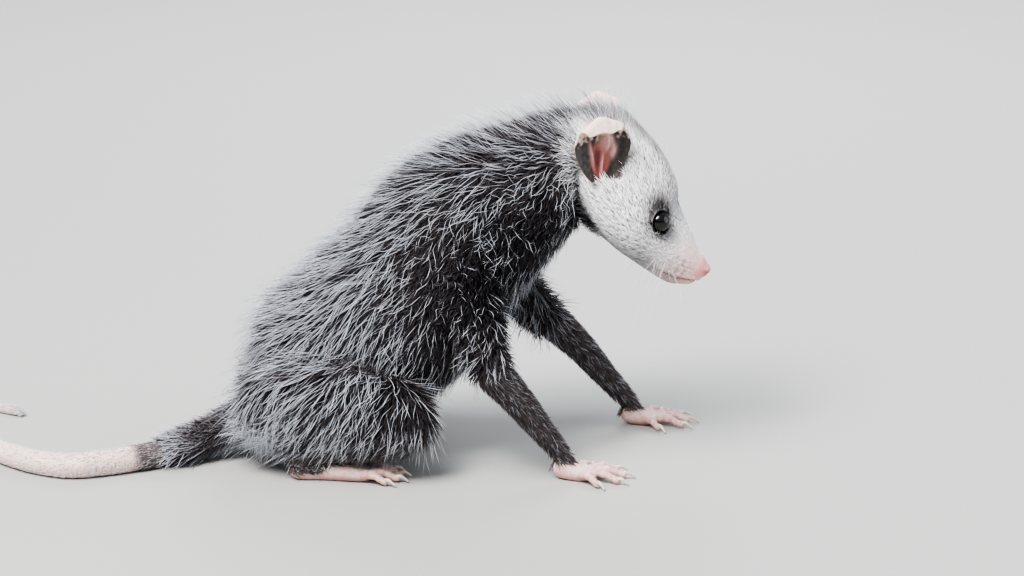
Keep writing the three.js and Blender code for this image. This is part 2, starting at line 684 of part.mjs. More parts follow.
// Legs and arms
function stand({ x, y, turn }, side) {
  const place = new THREE.Group();
  place.position.set(x, side * y, 0);
  place.rotation.z = THREE.MathUtils.degToRad(turn) * side;
  place.updateMatrix();
  root.add(place);
  return place;
}
for (const side of [RIGHT, LEFT]) {
  const which = side === LEFT ? "left" : "right";
  const footStand = stand(HIND_FOOT, side);
  const handStand = stand(ARM[side].hand, side);
  const sole = new Form(SOLE, PAD_DETAIL);
  const palm = new Form(PALM, PAD_DETAIL);
  const soleRoom = solid(sole.geometry({ swell: GAP }).applyMatrix4(footStand.matrix));
  // The toes stand clear of the hair that hangs over them
  const toesRoom = builtIn(new THREE.SphereGeometry(1, 10, 8).scale(17, 10, 7))
    .rotate([0, 0, HIND_FOOT.turn * side])
    .translate([HIND_FOOT.x + 16, side * HIND_FOOT.y, 0]);
  const palmRoom = solid(palm.geometry({ swell: GAP }).applyMatrix4(handStand.matrix));

  const thighLocks = coat(thighs[side], {
    from: 0.1,
    to: 0.92,
    row: 12.5,
    apart: 13,
    lie: haunchLie,
    keep: outside(join([torsoRoom, shankRoom])),
    length: 20,
    width: 12.5,
    tips: HAUNCH_TIPS,
  })
    .intersect(thighs[side].solid({ swell: HAUNCH_ZONE - GAP }))
    .subtract(join([torsoRoom, shankRoom, soleRoom, toesRoom, tailBaseRoom]));
  add(
    `thigh_${which}`,
    join([thighs[side].solid(), thighLocks]).subtract(join([shankRoom, soleRoom, tailBaseRoom])),
    "coat",
  );
  add(`shank_${which}`, shanks[side].solid().subtract(soleRoom), "limb");

  const armLocks = coat(upperArms[side], {
    from: 0.2,
    to: 0.72,
    row: 10,
    apart: 11,
    lie: armLie,
    keep: outside(join([torsoRoom, neckRoom, foreRoom])),
    length: 14,
    width: 9,
    tips: LIMB_TIPS - 0.6,
  })
    .intersect(upperArms[side].solid({ swell: COAT_ZONE - GAP }))
    .subtract(join([torsoRoom, neckRoom, foreRoom]));
  add(`upper_arm_${which}`, join([upperArms[side].solid(), armLocks]).subtract(foreRoom), "coat");
  add(`forearm_${which}`, forearms[side].solid().subtract(palmRoom), "limb");

  const paw = (pad, digits) => join([pad.solid(), ...digits.flatMap((d) => digit(d, side))]).subtract(ground);
  add(`hand_${which}`, paw(palm, FINGERS), "skin", handStand);
  add(`hind_foot_${which}`, paw(sole, TOES), "skin", footStand);
}

// Tail
const tailLocks = coat(spine, {
  from: 0.09,
  to: TAIL_CUT - 0.01,
  row: 12,
  apart: 12,
  lie: tailLie,
  keep: (place) => place.z > 4,
  length: 13,
  width: 7.5,
  tips: 3.4,
}).subtract(join([thighZone, torsoRoom]));
add("tail_base", join([spine.solid(TRUNK.tail_base), tailLocks]).subtract(join([thighRoom, ground])), "coat");
for (const { name, from, to, rings, material } of TAIL_LENGTHS)
  add(
    name,
    tail.solid({ from, to, rings, ends: to === 1 }).subtract(join([ground, tailBaseRoom])),
    material,
  );

// The origin goes under the middle of the whole animal, on the ground
const extent = new THREE.Box3().setFromObject(root);
const middle = extent.getCenter(new THREE.Vector3());
root.position.set(-middle.x, -middle.y, -extent.min.z);

export default root;
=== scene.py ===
# Looks of the young opossum: one skin over the flesh, its eyes, ears, claws and tail, and a coat of mesh
# hairs. Lengths are millimetres in the animal's own modelling frame, and to_row() brings them to the part's.
import math

import bmesh
import bpy
import numpy as np
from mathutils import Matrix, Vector
from mathutils.kdtree import KDTree


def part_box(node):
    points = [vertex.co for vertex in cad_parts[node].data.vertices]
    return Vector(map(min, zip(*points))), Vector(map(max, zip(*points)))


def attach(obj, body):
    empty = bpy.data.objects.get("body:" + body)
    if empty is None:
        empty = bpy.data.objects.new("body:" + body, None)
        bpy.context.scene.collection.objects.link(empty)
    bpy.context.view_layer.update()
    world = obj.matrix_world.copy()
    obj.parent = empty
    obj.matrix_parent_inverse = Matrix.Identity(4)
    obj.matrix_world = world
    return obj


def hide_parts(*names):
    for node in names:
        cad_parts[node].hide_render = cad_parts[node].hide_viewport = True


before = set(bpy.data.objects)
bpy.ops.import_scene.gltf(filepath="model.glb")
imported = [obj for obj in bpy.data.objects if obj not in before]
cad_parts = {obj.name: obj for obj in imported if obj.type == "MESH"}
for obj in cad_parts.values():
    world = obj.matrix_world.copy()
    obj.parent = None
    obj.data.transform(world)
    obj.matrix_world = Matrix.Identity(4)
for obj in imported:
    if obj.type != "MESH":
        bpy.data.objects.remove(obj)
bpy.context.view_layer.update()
RIGHT, LEFT = -1, 1
SIDE_NAMES = {RIGHT: "right", LEFT: "left"}
rng = np.random.default_rng(7)

# Colours, as seen in even light, and colours of painted shade and painted highlight
WHITE = (0.86, 0.88, 0.92)
COOL_WHITE = (0.70, 0.76, 0.85)
CHARCOAL = (0.018, 0.015, 0.018)
UNDERFUR = (0.075, 0.062, 0.068)
UNDERFUR_TIP = (0.42, 0.43, 0.46)
FLANK_GREY = (0.12, 0.105, 0.112)
NAPE_GREY = (0.30, 0.29, 0.30)
CHEEK_WHITE = (0.70, 0.70, 0.71)
FACE_WHITE = (0.86, 0.86, 0.87)
FACE_GREY = (0.16, 0.15, 0.155)
CROWN_GREY = (0.22, 0.20, 0.21)
BORDER_GREY = (0.17, 0.15, 0.155)
MUZZLE_HAIR = (0.86, 0.72, 0.71)
WHISKER_DOT = (0.20, 0.13, 0.14)
WHISKER_ROOT = (0.55, 0.53, 0.52)
EYE_GREY = (0.30, 0.28, 0.285)
EYE_DUSK = (0.11, 0.095, 0.10)
EYE_BLACK = (0.003, 0.002, 0.002)
LID_BLACK = (0.016, 0.012, 0.013)
PINK = (0.70, 0.42, 0.38)
PALE_PINK = (0.74, 0.55, 0.50)
NOSE_PINK = (0.72, 0.33, 0.33)
LIP_PINK = (0.72, 0.34, 0.33)
DEEP_PINK = (0.66, 0.36, 0.33)
# Darker pink for the lowest part of each paw
LOW_PAW_PINK = (0.60, 0.30, 0.28)
# Painted shade in the creases across the digits
CREASE_SHADE_RED = (0.52, 0.22, 0.20)
# Painted shade: dark red for the mouth line and round the ear openings
SHADE_RED = (0.20, 0.05, 0.05)
# Painted shade: near-black for the nostril pits
NOSTRIL_SHADE = (0.06, 0.012, 0.015)
EAR_CREAM = (0.78, 0.62, 0.54)
EAR_BLACK = (0.028, 0.022, 0.025)
EAR_BROWN = (0.10, 0.085, 0.075)
EAR_RED = (0.42, 0.13, 0.12)
# Painted shade: dark red over the opening of the ear
EAR_HOLE_SHADE = (0.13, 0.03, 0.03)
EAR_FLUSH = (0.62, 0.30, 0.28)
LIMB_GREY = (0.10, 0.085, 0.085)
CLAW_HORN = (0.62, 0.52, 0.45)
TAIL_PALE = (0.76, 0.58, 0.53)
TAIL_DARK = (0.060, 0.050, 0.055)
TAIL_HAIR_GREY = (0.45, 0.43, 0.44)
# Painted highlight on the raised ends of the tail's scales
SCALE_TOP_HIGHLIGHT = (0.82, 0.72, 0.68)
# Painted shade between the tail's scales
SCALE_GAP_SHADE = (0.58, 0.32, 0.29)

outer = np.multiply.outer


def unit(v):
    v = np.asarray(v, float)
    return v / np.maximum(np.linalg.norm(v, axis=-1, keepdims=True), 1e-9)


def mix(a, b, share):
    share = np.clip(np.asarray(share, float), 0, 1)[..., None]
    return np.asarray(a, float) * (1 - share) + np.asarray(b, float) * share


def layered(colour, *layers):
    """A colour with others laid over it in turn, each with its share."""
    for over, share in layers:
        colour = mix(colour, over, share)
    return colour


def step(low, high, x):
    """An eased step from 0 at low to 1 at high, which falls where low is above high."""
    t = np.clip((np.asarray(x, float) - low) / (high - low), 0, 1)
    return t * t * (3 - 2 * t)


def bump(x, middle, spread):
    return np.exp(-(((x - middle) / spread) ** 2))


def wander(p, scale, seed=0.0):
    """Smooth noise between -1 and 1 from a few crossed waves."""
    q = p / scale
    a = np.sin(q[:, 0] * 1.7 + np.sin(q[:, 1] * 2.3 + seed) * 1.3 + seed)
    b = np.sin(q[:, 1] * 1.9 + np.sin(q[:, 2] * 2.1 + 2 * seed) * 1.2 + 1.3 * seed)
    c = np.sin(q[:, 2] * 1.8 + np.sin(q[:, 0] * 2.6 - seed) * 1.4 + 0.7 * seed)
    return (a + b + c) / 3


def distance(p, spot, stretch=1.0):
    """How far places lie from a spot, with each axis stretched."""
    return np.linalg.norm((p - spot) * stretch, axis=1)


def off_axis(q, way):
    """How far places lie from the line that runs that way through zero."""
    return np.linalg.norm(q - outer(q @ way, way), axis=1)


def flat_on(ways, out):
    """The ways laid flat on a surface whose normals are out."""
    return ways - out * np.sum(ways * out, 1)[:, None]


def lattice(first, second):
    return np.meshgrid(first, second, indexing="ij")


def round_angles(sides):
    return np.arange(sides) * 2 * math.pi / sides


def tree_of(places):
    tree = KDTree(len(places))
    for i, p in enumerate(places):
        tree.insert(p, i)
    tree.balance()
    return tree


def nearest(places, p):
    """Which of the places lies nearest to each of p."""
    tree = tree_of(places)
    return np.array([tree.find(q)[1] for q in p])


# The forms, on the same named stations as the solids: [x, y, z, wide, up, down, power of the top]
SPINE = [
    [-71.5, -12.7, 4.35, 4.3, 4.2, 4.15],
    [-66, -9.8, 5.1, 4.8, 4.6, 4.6],
    [-60.5, -6.9, 6.5, 5.3, 5.1, 5],
    [-54.5, -4, 8.8, 6.2, 5.7, 5.8],
    [-48, -1.8, 12, 8.5, 6.3, 8],
    [-42, -1, 16, 12.5, 7.8, 12.3],
    [-35, -0.5, 21, 18, 15, 15.5],
    [-24, 0, 29.5, 23.5, 24.5, 21],
    [-9, 0, 38, 26, 27.5, 26],
    [6, 0, 51, 25.5, 28.5, 26],
    [20, 0, 66.5, 23.5, 29.3, 22.5],
    [32, 0.5, 78, 21, 25, 21],
    [42, 1, 85.5, 18.5, 19, 19],
    [52, 2, 90.5, 16, 15.8, 17],
    [61, 3, 91, 12, 12, 13],
]
# The skull, on the head's own axes: [back, level, wide, up, down, power of the top]
SKULL = [
    [61, 1, 5, 5, 5, 2],
    [58.5, 0, 10.5, 9.5, 9.5, 2],
    [53, -1.5, 15, 15, 12.5, 2],
    [45, -3.5, 17.6, 17.6, 13, 2],
    [37, -5.5, 18.4, 18.6, 11.6, 1.9],
    [30, -7, 17.4, 18, 9.8, 1.75],
    [24, -7.8, 15.4, 15.8, 8.2, 1.6],
    [19, -7.8, 13, 13.7, 7.2, 1.6],
    [14, -7.4, 10.5, 11.8, 6.6, 1.7],
    [9, -6.6, 8.2, 9.4, 6, 1.9],
    [5, -5.2, 6.3, 7, 4.9, 2],
    [1.8, -3.6, 4.4, 4.6, 3.4, 2],
    [0.6, -3.2, 2.6, 2.8, 2.2, 2],
]
NOSE_TIP = np.array([93.3, 3, 57.5])
PITCH = math.radians(46.2)
BACK = np.array([-math.cos(PITCH), 0, math.sin(PITCH)])
CROWN = np.array([math.sin(PITCH), 0, math.cos(PITCH)])


def on_head(back, side, up):
    """A place by how far it lies behind the tip of the nose, to the side and towards the crown."""
    return NOSE_TIP + outer(back, BACK) + outer(side, [0, 1, 0]) + outer(up, CROWN)


# The pad of the nose, as the skull but with round tops
NOSE_PAD = [
    [5, -1.9, 2.4, 1.4, 2],
    [2.4, -1.9, 3.2, 2.0, 2.3],
    [0.4, -2, 3.3, 2.2, 2.3],
    [-0.7, -2.1, 2.1, 1.5, 1.6],
    [-0.95, -2.1, 0.9, 0.6, 0.7],
]
# Limbs, with y as on the left side. A hand or foot stands at x, y and is turned by so many degrees
THIGH = [
    [-45, 11, 20, 4, 7, 7],
    [-39.5, 14.5, 20.5, 8.5, 13, 12],
    [-29, 18.5, 21.5, 11.5, 17.5, 14.6],
    [-15, 21.5, 22, 12.2, 17.5, 15.2],
    [-4, 23.5, 21, 11, 14, 14],
    [4, 25, 18.5, 8, 10, 10.5],
    [8.5, 25.5, 16.5, 3.5, 4.5, 5],
]
SHANK = [
    [6.5, 26, 13.5, 2.5, 2.5, 2.5],
    [3, 26, 14, 5.2, 5.4, 5.6],
    [-6, 26, 12.8, 5.8, 6, 5.8],
    [-17, 25, 10.6, 5, 5, 4.6],
    [-25, 24, 7.8, 4, 4, 3.6],
    [-29, 24, 6, 2.6, 2.6, 2.6],
]
HIND_FOOT = (-29, 24, 4)
ARM = {
    RIGHT: {
        "upper": [
            [15, 13, 69, 4, 5, 5],
            [18, 16.5, 62, 8.5, 11, 11],
            [22, 19.5, 51, 8.2, 10, 10],
            [25, 22, 41, 6.8, 8, 8],
            [27, 23.5, 34, 5.6, 6.3, 6.3],
            [28, 24, 29.5, 2.6, 3, 3],
        ],
        "fore": [
            [25.5, 24, 36, 2.6, 3, 3],
            [28, 24, 32.5, 4.8, 5.2, 5.2],
            [35, 24.5, 24.5, 4.7, 4.7, 4.7],
            [42, 24.5, 15.5, 3.7, 3.7, 3.7],
            [47.5, 24.5, 8.5, 3, 3, 3],
            [50, 24.5, 5, 2, 2, 2],
        ],
        "hand": (48.5, 24.5, 6),
    },
    LEFT: {
        "upper": [
            [18, 12, 68, 4, 5, 5],
            [23, 15.5, 61.5, 8.5, 11, 11],
            [31, 19.5, 52, 8, 9.5, 9.5],
            [38.5, 23, 42.5, 6.6, 7.6, 7.6],
            [44, 25, 36, 5.4, 6, 6],
            [47, 26, 32.5, 2.6, 3, 3],
        ],
        "fore": [
            [42.5, 25.5, 38, 2.6, 3, 3],
            [46, 26, 34.5, 4.8, 5.2, 5.2],
            [54.5, 27, 26, 4.6, 4.6, 4.6],
            [62.5, 28, 16.5, 3.7, 3.7, 3.7],
            [69, 29, 8.8, 3, 3, 3],
            [72, 29.5, 5, 2, 2, 2],
        ],
        "hand": (70.5, 29.3, 4),
    },
}
PALM = [
    [-2.5, 0, 4.6, 2.2, 2.2, 2.2],
    [0, 0, 3.8, 3, 2.8, 3.6],
    [4, 0, 2.5, 3.9, 2.2, 3],
    [7.5, 0, 2, 4, 1.7, 2.4],
    [9.5, 0, 1.8, 3, 1.2, 1.5],
]
SOLE = [
    [-3, 0, 3.2, 2.2, 2.2, 2.4],
    [0, 0, 2.9, 3.4, 3, 3.4],
    [7, 0, 2.6, 3.4, 2.6, 3],
    [14, 0, 2.4, 4.2, 2.3, 2.8],
    [19, 0, 2, 4.4, 1.8, 2.4],
    [21.5, 0, 1.8, 3, 1.2, 1.5],
]
# x, y, turn in degrees, length, whether it has a claw
FINGERS = [
    (4, 2.6, 58, 8, 1),
    (7.6, 2.5, 26, 9.5, 1),
    (8.6, 0.6, 4, 10, 1),
    (8.2, -1.6, -18, 9.5, 1),
    (5.6, -2.8, -46, 8.2, 1),
]
TOES = [
    (11, 2.8, 72, 8.5, 0),
    (18.5, 2.9, 20, 9.6, 1),
    (19.6, 1, 6, 10.2, 1),
    (19.4, -1.2, -7, 10, 1),
    (18, -3, -22, 8.8, 1),
]
# x, y, radius
TAIL = [
    [-71, -12.5, 4.15],
    [-79.5, -17, 4],
    [-88, -21, 3.85],
    [-98, -23.3, 3.7],
    [-110, -18, 3.5],
    [-122, -7.5, 3.3],
    [-135, 2.5, 3.1],
    [-147, 13, 2.85],
    [-154, 26, 2.55],
    [-151, 38, 2.25],
    [-141, 43.5, 1.95],
    [-131, 41.8, 1.65],
    [-123.5, 38, 1.35],
    [-121.5, 36.7, 0.5],
]
TAIL_SINK = 0.93
EYE = dict(back=23.2, side=10.1, up=-0.2, radius=3.3)
EAR = dict(
    back=45.5, side=14, up=-3.2, height=17.6, arch=3.2, half=8.6, cup=3.2, fold=1.5, turn=2.6, flap=3.2
)
# The mouth line: how far back, and how high there
MOUTH_BACK = [0.2, 1.6, 4.4, 8, 12, 16]
MOUTH_LEVEL = [-5.7, -6.1, -7.5, -9.3, -10.6, -11.3]
WHISKER_ROWS, WHISKERS_IN_ROW = 4, 5
# Dusky spots round each eye: [back, crown, size, strength]
DUSKY_SPOTS = [(3.9, 2.6, 2.5, 0.85), (6.4, -0.6, 2.3, 0.55), (-2.6, 3.0, 2.0, 0.6), (-4.4, -1.4, 2.4, 0.35)]
# Length of the hair by region
HAIR_LENGTH = dict(
    tail_root=9.0, torso=9.5, neck=8.5, head=3.2, thigh=9.0,
    shank=4.4, upper=6.5, fore=4.0, hand=1.5, foot=2.5,
)
REGIONS = list(HAIR_LENGTH)
COATED = ("tail_root", "torso", "neck", "thigh", "upper")

low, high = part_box("eye_right")
EYE_RIGHT = on_head(EYE["back"], -EYE["side"], EYE["up"])
OFFSET = np.array((low + high) / 2) * 1000 - EYE_RIGHT


def to_row(p):
    return (np.asarray(p, float) + OFFSET) * 0.001


class Form:
    """A form swept along a smooth line, as in the solids."""

    def __init__(self, stations, side=(0, 1, 0)):
        self.rows = np.array([[*s, 2][:7] for s in stations], float)
        self.side = np.array(side, float)

    def sample(self, u):
        """The station and the way of the line at each share u of its length."""
        r, n = self.rows, len(self.rows)
        t = np.clip(np.atleast_1d(u), 0, 1) * (n - 1)
        k = np.clip(t.astype(int), 0, n - 2)
        w = (t - k)[:, None]
        wide = np.vstack([2 * r[0] - r[1], r, 2 * r[-1] - r[-2]])
        a, b, c, d = (wide[k + i] for i in range(4))
        square = 2 * a - 5 * b + 4 * c - d
        cube = 3 * (b - c) + d - a
        at = b + 0.5 * w * (c - a + w * (square + w * cube))
        slope = 0.5 * (c - a + w * (2 * square + 3 * w * cube))
        return at, unit(slope[:, :3])

    def points(self, u, angle, swell=0.0):
        at, along = self.sample(u)
        side = unit(self.side - along * (along @ self.side)[:, None])
        up = np.cross(along, side)
        s, c = np.sin(angle), np.cos(angle)
        power = np.where(c > 0, at[:, 6], 2)
        wide = np.maximum(at[:, 3] + swell, 0.3)
        tall = np.maximum(np.where(c > 0, at[:, 4], at[:, 5]) + swell, 0.3)
        across = wide * np.sign(s) * np.abs(s) ** (2 / power)
        rise = tall * np.sign(c) * np.abs(c) ** (2 / power)
        return at[:, :3] + side * across[:, None] + up * rise[:, None]

    def grid(self, rings, sides, swell=0.0, start=0.0, end=1.0):
        u, angle = lattice(np.linspace(start, end, rings), round_angles(sides))
        swell = swell(u.ravel()) if callable(swell) else swell
        return self.points(u.ravel(), angle.ravel(), swell).reshape(rings, sides, 3)


def tube_faces(rings, sides):
    i, j = lattice(np.arange(rings - 1), np.arange(sides))
    a, b = i * sides + j, i * sides + (j + 1) % sides
    return np.stack([a, a + sides, b + sides, b], -1).reshape(-1, 4).tolist()


def closed_tube(grid):
    """Vertices and faces of a tube with its ends closed."""
    rings, sides, _ = grid.shape
    last = (rings - 1) * sides
    ends = [list(range(sides)), list(range(last, last + sides))[::-1]]
    return grid.reshape(-1, 3), tube_faces(rings, sides) + ends


def merged(parts):
    points, faces, base = [], [], 0
    for p, f in parts:
        points.append(p)
        faces += [[i + base for i in face] for face in f]
        base += len(p)
    return np.vstack(points), faces


def add_object(name, data):
    obj = bpy.data.objects.new(name, data)
    bpy.context.scene.collection.objects.link(obj)
    return obj


def make(name, points, faces, finish):
    mesh = bpy.data.meshes.new(name)
    mesh.from_pydata(to_row(points).tolist(), [], faces)
    mesh.update()
    mesh.shade_smooth()
    mesh.materials.append(finish)
    return add_object(name, mesh)


def tint(obj, colours):
    attribute = obj.data.attributes.new("tint", "FLOAT_COLOR", "POINT")
    full = np.ones((len(obj.data.vertices), 4), np.float32)
    full[:, :3] = colours
    attribute.data.foreach_set("color", full.ravel())


def set_inputs(node, values):
    for name, value in values.items():
        node.inputs[name].default_value = value


def material(name, *, roughness, grain, relief, spots, gloss=0.5, coat=0.0, subsurface=0.0, colour=None):
    """A finish in one colour, or else in the mesh's own tint, with fine mottling and grain."""
    made = bpy.data.materials.new(name)
    made.use_nodes = True
    nodes, link = made.node_tree.nodes, made.node_tree.links.new
    shader = nodes["Principled BSDF"]
    set_inputs(shader, {"Roughness": roughness, "Specular IOR Level": gloss})
    set_inputs(shader, {"Coat Weight": coat, "Coat Roughness": 0.08})
    if subsurface:
        set_inputs(shader, {"Subsurface Weight": subsurface, "Subsurface Scale": 0.0012})
        set_inputs(shader, {"Subsurface Radius": (1.0, 0.35, 0.25)})
    where = nodes.new("ShaderNodeTexCoord")
    mottle = nodes.new("ShaderNodeTexNoise")
    set_inputs(mottle, {"Scale": grain, "Detail": 5})
    link(where.outputs["Object"], mottle.inputs["Vector"])
    spread = nodes.new("ShaderNodeMapRange")
    set_inputs(spread, {"From Min": 0.3, "From Max": 0.7, "To Min": 1 - spots, "To Max": 1 + spots})
    link(mottle.outputs["Fac"], spread.inputs["Value"])
    if colour:
        source = nodes.new("ShaderNodeRGB")
        source.outputs["Color"].default_value = (*colour, 1)
    else:
        source = nodes.new("ShaderNodeAttribute")
        source.attribute_name = "tint"
    shade = nodes.new("ShaderNodeVectorMath")
    shade.operation = "SCALE"
    link(source.outputs["Color"], shade.inputs[0])
    link(spread.outputs["Result"], shade.inputs["Scale"])
    link(shade.outputs["Vector"], shader.inputs["Base Color"])
    if relief:
        fine = nodes.new("ShaderNodeTexNoise")
        set_inputs(fine, {"Scale": grain * 3, "Detail": 3})
        link(where.outputs["Object"], fine.inputs["Vector"])
        raise_grain = nodes.new("ShaderNodeBump")
        set_inputs(raise_grain, {"Strength": relief, "Distance": 0.0004})
        link(fine.outputs["Fac"], raise_grain.inputs["Height"])
        link(raise_grain.outputs["Normal"], shader.inputs["Normal"])
    return made


SKIN = material("opossum_skin", roughness=0.62, grain=900, relief=0.35, spots=0.12, subsurface=0.12)
HAIR = material("coat_hair", roughness=0.6, grain=500, relief=0, spots=0.10, gloss=0.25)
FACE_HAIR = material("face_hair", roughness=0.6, grain=700, relief=0, spots=0.07, gloss=0.25)
EAR_SKIN = material("ear_skin", roughness=0.5, grain=1200, relief=0.3, spots=0.10, subsurface=0.2)
TAIL_SKIN = material("tail_skin", roughness=0.6, grain=1100, relief=0.2, spots=0.10, subsurface=0.1)
CLAW = material("claw_horn", roughness=0.3, grain=1500, relief=0.05, spots=0.06, coat=0.3, colour=CLAW_HORN)
EYE_GLOSS = material("eye_gloss", roughness=0.04, grain=400, relief=0, spots=0.4, gloss=0.7, colour=EYE_BLACK)

# Skin: every flesh form, a coat's depth inside the solids, melted into one surface
COAT_DEPTH = 3.0
SHORT_COAT_DEPTH = 0.8


def head_form(rows):
    return Form([[*on_head(back, 0, level), *sizes] for back, level, *sizes in rows])


def limb_form(rows, side):
    return Form([[x, side * y, *rest] for x, y, *rest in rows])


spine = Form(SPINE)
head = head_form(SKULL)
limbs = {
    side: {
        "thigh": limb_form(THIGH, side),
        "shank": limb_form(SHANK, side),
        "upper": limb_form(ARM[side]["upper"], side),
        "fore": limb_form(ARM[side]["fore"], side),
    }
    for side in (RIGHT, LEFT)
}


def trunk_swell(u):
    return -COAT_DEPTH + 2.2 * step(0.28, 0.0, u)


def head_swell(u):
    return np.interp(u, [0, 0.2, 0.45, 0.62, 0.78, 0.9, 1], [-2, -2, -0.9, -0.2, 0.5, 0.3, 0])


def arm_swell(u):
    return -2.6 + 1.6 * step(0.6, 1, u)


def paws(side):
    """Region, pad, digits and stand of the hand and of the foot."""
    return ("hand", PALM, FINGERS, ARM[side]["hand"]), ("foot", SOLE, TOES, HIND_FOOT)


def place_paw(points, stand, side):
    x, y, turn = stand
    a = math.radians(turn) * side
    c, s = math.cos(a), math.sin(a)
    return points @ np.array([[c, s, 0], [-s, c, 0], [0, 0, 1]]) + np.array([x, side * y, 0])


def digit_line(entry, side):
    """Where a digit starts on its pad, and the way it points."""
    x, y, turn, _, _ = entry
    a = math.radians(turn) * -side
    return np.array([x, -side * y, 0]), np.array([math.cos(a), math.sin(a), 0])


def digit(entry, side):
    """A finger or toe and its claw, or None where it has none."""
    start, way = digit_line(entry, side)
    _, _, _, long, clawed = entry

    def tube(sides, rings, stations):
        rows = [[*(start + way * far + [0, 0, z]), r, r, r] for far, z, r in stations]
        return closed_tube(Form(rows, (-way[1], way[0], 0)).grid(rings, sides))

    root = [(-2.5, 2.2, 1.16), (0, 2.2, 1.42), (long * 0.45, 2.9, 1.3)]
    tip = [(long * 0.8, 1.65, 1.2), (long, 1.05, 1.15), (long + 0.6, 1.0, 0.5)]
    nail = [(long - 0.8, 1.7, 0.72), (long + 0.6, 1.95, 0.6), (long + 1.9, 1.35, 0.38), (long + 3, 0.5, 0.12)]
    return tube(14, 14, root + tip), tube(10, 10, nail) if clawed else None


flesh = [closed_tube(spine.grid(90, 64, trunk_swell)), closed_tube(head.grid(90, 64, head_swell))]
claws = []
for side in (RIGHT, LEFT):
    form = limbs[side]
    flesh += [
        closed_tube(form["thigh"].grid(40, 48, -COAT_DEPTH)),
        closed_tube(form["shank"].grid(30, 32, -SHORT_COAT_DEPTH)),
        closed_tube(form["upper"].grid(36, 36, arm_swell)),
        closed_tube(form["fore"].grid(36, 32, -SHORT_COAT_DEPTH)),
    ]
    for _, pad, digits, stand in paws(side):
        points, faces = closed_tube(Form(pad).grid(30, 32))
        flesh.append((place_paw(points, stand, side), faces))
        for entry in digits:
            (points, faces), nail = digit(entry, side)
            flesh.append((place_paw(points, stand, side), faces))
            if nail:
                claws.append((place_paw(nail[0], stand, side), nail[1]))
flesh.append(closed_tube(head_form(NOSE_PAD).grid(30, 32)))

skin = make("skin", *merged(flesh), SKIN)
bpy.context.view_layer.objects.active = skin


def apply(obj, kind, **settings):
    modifier = obj.modifiers.new(kind, kind)
    for key, value in settings.items():
        setattr(modifier, key, value)
    with bpy.context.temp_override(object=obj, active_object=obj, selected_objects=[obj]):
        bpy.ops.object.modifier_apply(modifier=modifier.name)


VOXEL = 0.62
apply(skin, "REMESH", mode="VOXEL", voxel_size=VOXEL * 0.001, adaptivity=0, use_smooth_shade=True)
apply(skin, "SMOOTH", factor=0.5, iterations=4)


def fetch(collection, key, width, kind=np.float32):
    values = np.empty(len(collection) * width, kind)
    collection.foreach_get(key, values)
    return values.reshape(-1, width)


def read(obj):
    """Places and normals of the vertices."""
    vertices = obj.data.vertices
    return fetch(vertices, "co", 3).astype(float) * 1000 - OFFSET, fetch(vertices, "normal", 3).astype(float)


def write(obj, p):
    obj.data.vertices.foreach_set("co", to_row(p).astype(np.float32).ravel())
    obj.data.update()


def refine(obj, inside):
    """Splits the edges whose two ends pass the test, for finer detail there."""
    p, _ = read(obj)
    keep = inside(p)
    bm = bmesh.new()
    bm.from_mesh(obj.data)
    bm.verts.ensure_lookup_table()
    edges = [e for e in bm.edges if keep[e.verts[0].index] and keep[e.verts[1].index]]
    bmesh.ops.subdivide_edges(bm, edges=edges, cuts=1, use_grid_fill=True)
    bm.to_mesh(obj.data)
    bm.free()
    obj.data.shade_smooth()


def blur(obj, values, times):
    """Evens a value out over the mesh, so that no border is sharp."""
    a, b = fetch(obj.data.edges, "vertices", 2, int).T
    count = np.bincount(a, minlength=len(values)) + np.bincount(b, minlength=len(values))
    for _ in range(times):
        total = np.zeros_like(values)
        for k in range(values.shape[1]):
            ahead = np.bincount(a, values[b, k], len(values))
            total[:, k] = ahead + np.bincount(b, values[a, k], len(values))
        values = 0.5 * values + 0.5 * total / count[:, None]
    return values


def head_frame(p):
    """How far places lie behind the tip of the nose, to the side and towards the crown."""
    q = p - NOSE_TIP
    return q @ BACK, q[:, 1], q @ CROWN


def face_part(p):
    back, _, _ = head_frame(p)
    return (back < 31) & (back > -4) & (p[:, 0] > 60) & (p[:, 2] > 45)


# The flank, the haunch and the root of the tail run into each other: hollows between them are filled
EVENINGS = 300
points, normals = read(skin)
x, y, z = points.T
hollow_part = step(-66, -56, x) * step(24, 12, x) * step(58, 48, z) * step(7, 13, z) * step(3, 9, np.abs(y))
evened = blur(skin, points, EVENINGS)
fill = np.maximum(0, np.sum((evened - points) * normals, 1)) * hollow_part
write(skin, points + normals * (1.25 * fill)[:, None])
apply(skin, "SMOOTH", factor=0.5, iterations=6)
refine(skin, face_part)
apply(skin, "SMOOTH", factor=0.4, iterations=2)
points, normals = read(skin)
back, across, up = head_frame(points)
on_face = face_part(points)
moved = points.copy()


def raised(amount):
    """The skin's moves along its normals by an amount for each vertex."""
    return normals * amount[:, None]


# Lids: a soft ring raised round each eye, drawn out to a point in front and behind
eyes = []
for side in (RIGHT, LEFT):
    centre = on_head(EYE["back"], side * EYE["side"], EYE["up"])
    look = unit(on_head(EYE["back"] - 0.45, side * (EYE["side"] + 0.8), EYE["up"] + 0.4) - centre)
    eyes.append((side, centre, look))
    q = points - centre
    forward = unit(-BACK - look * (-BACK @ look))
    high = np.cross(look, forward)
    high *= np.sign(high @ CROWN)
    a, b = q @ forward, q @ high
    ring = np.sqrt((a / 1.12) ** 2 + b**2)
    near = bump(q @ look, 2.6, 3.0) * (np.abs(across) > 3)
    lid = 0.55 * bump(ring, 3.55, 0.42) - 0.25 * bump(ring, 4.6, 0.7) - 1.1 * step(3.5, 2.5, ring)
    brow = 0.7 * bump(a, -0.5, 3.5) * bump(b, 4.8, 1.6)
    moved += look * ((lid + brow) * near * on_face)[:, None]


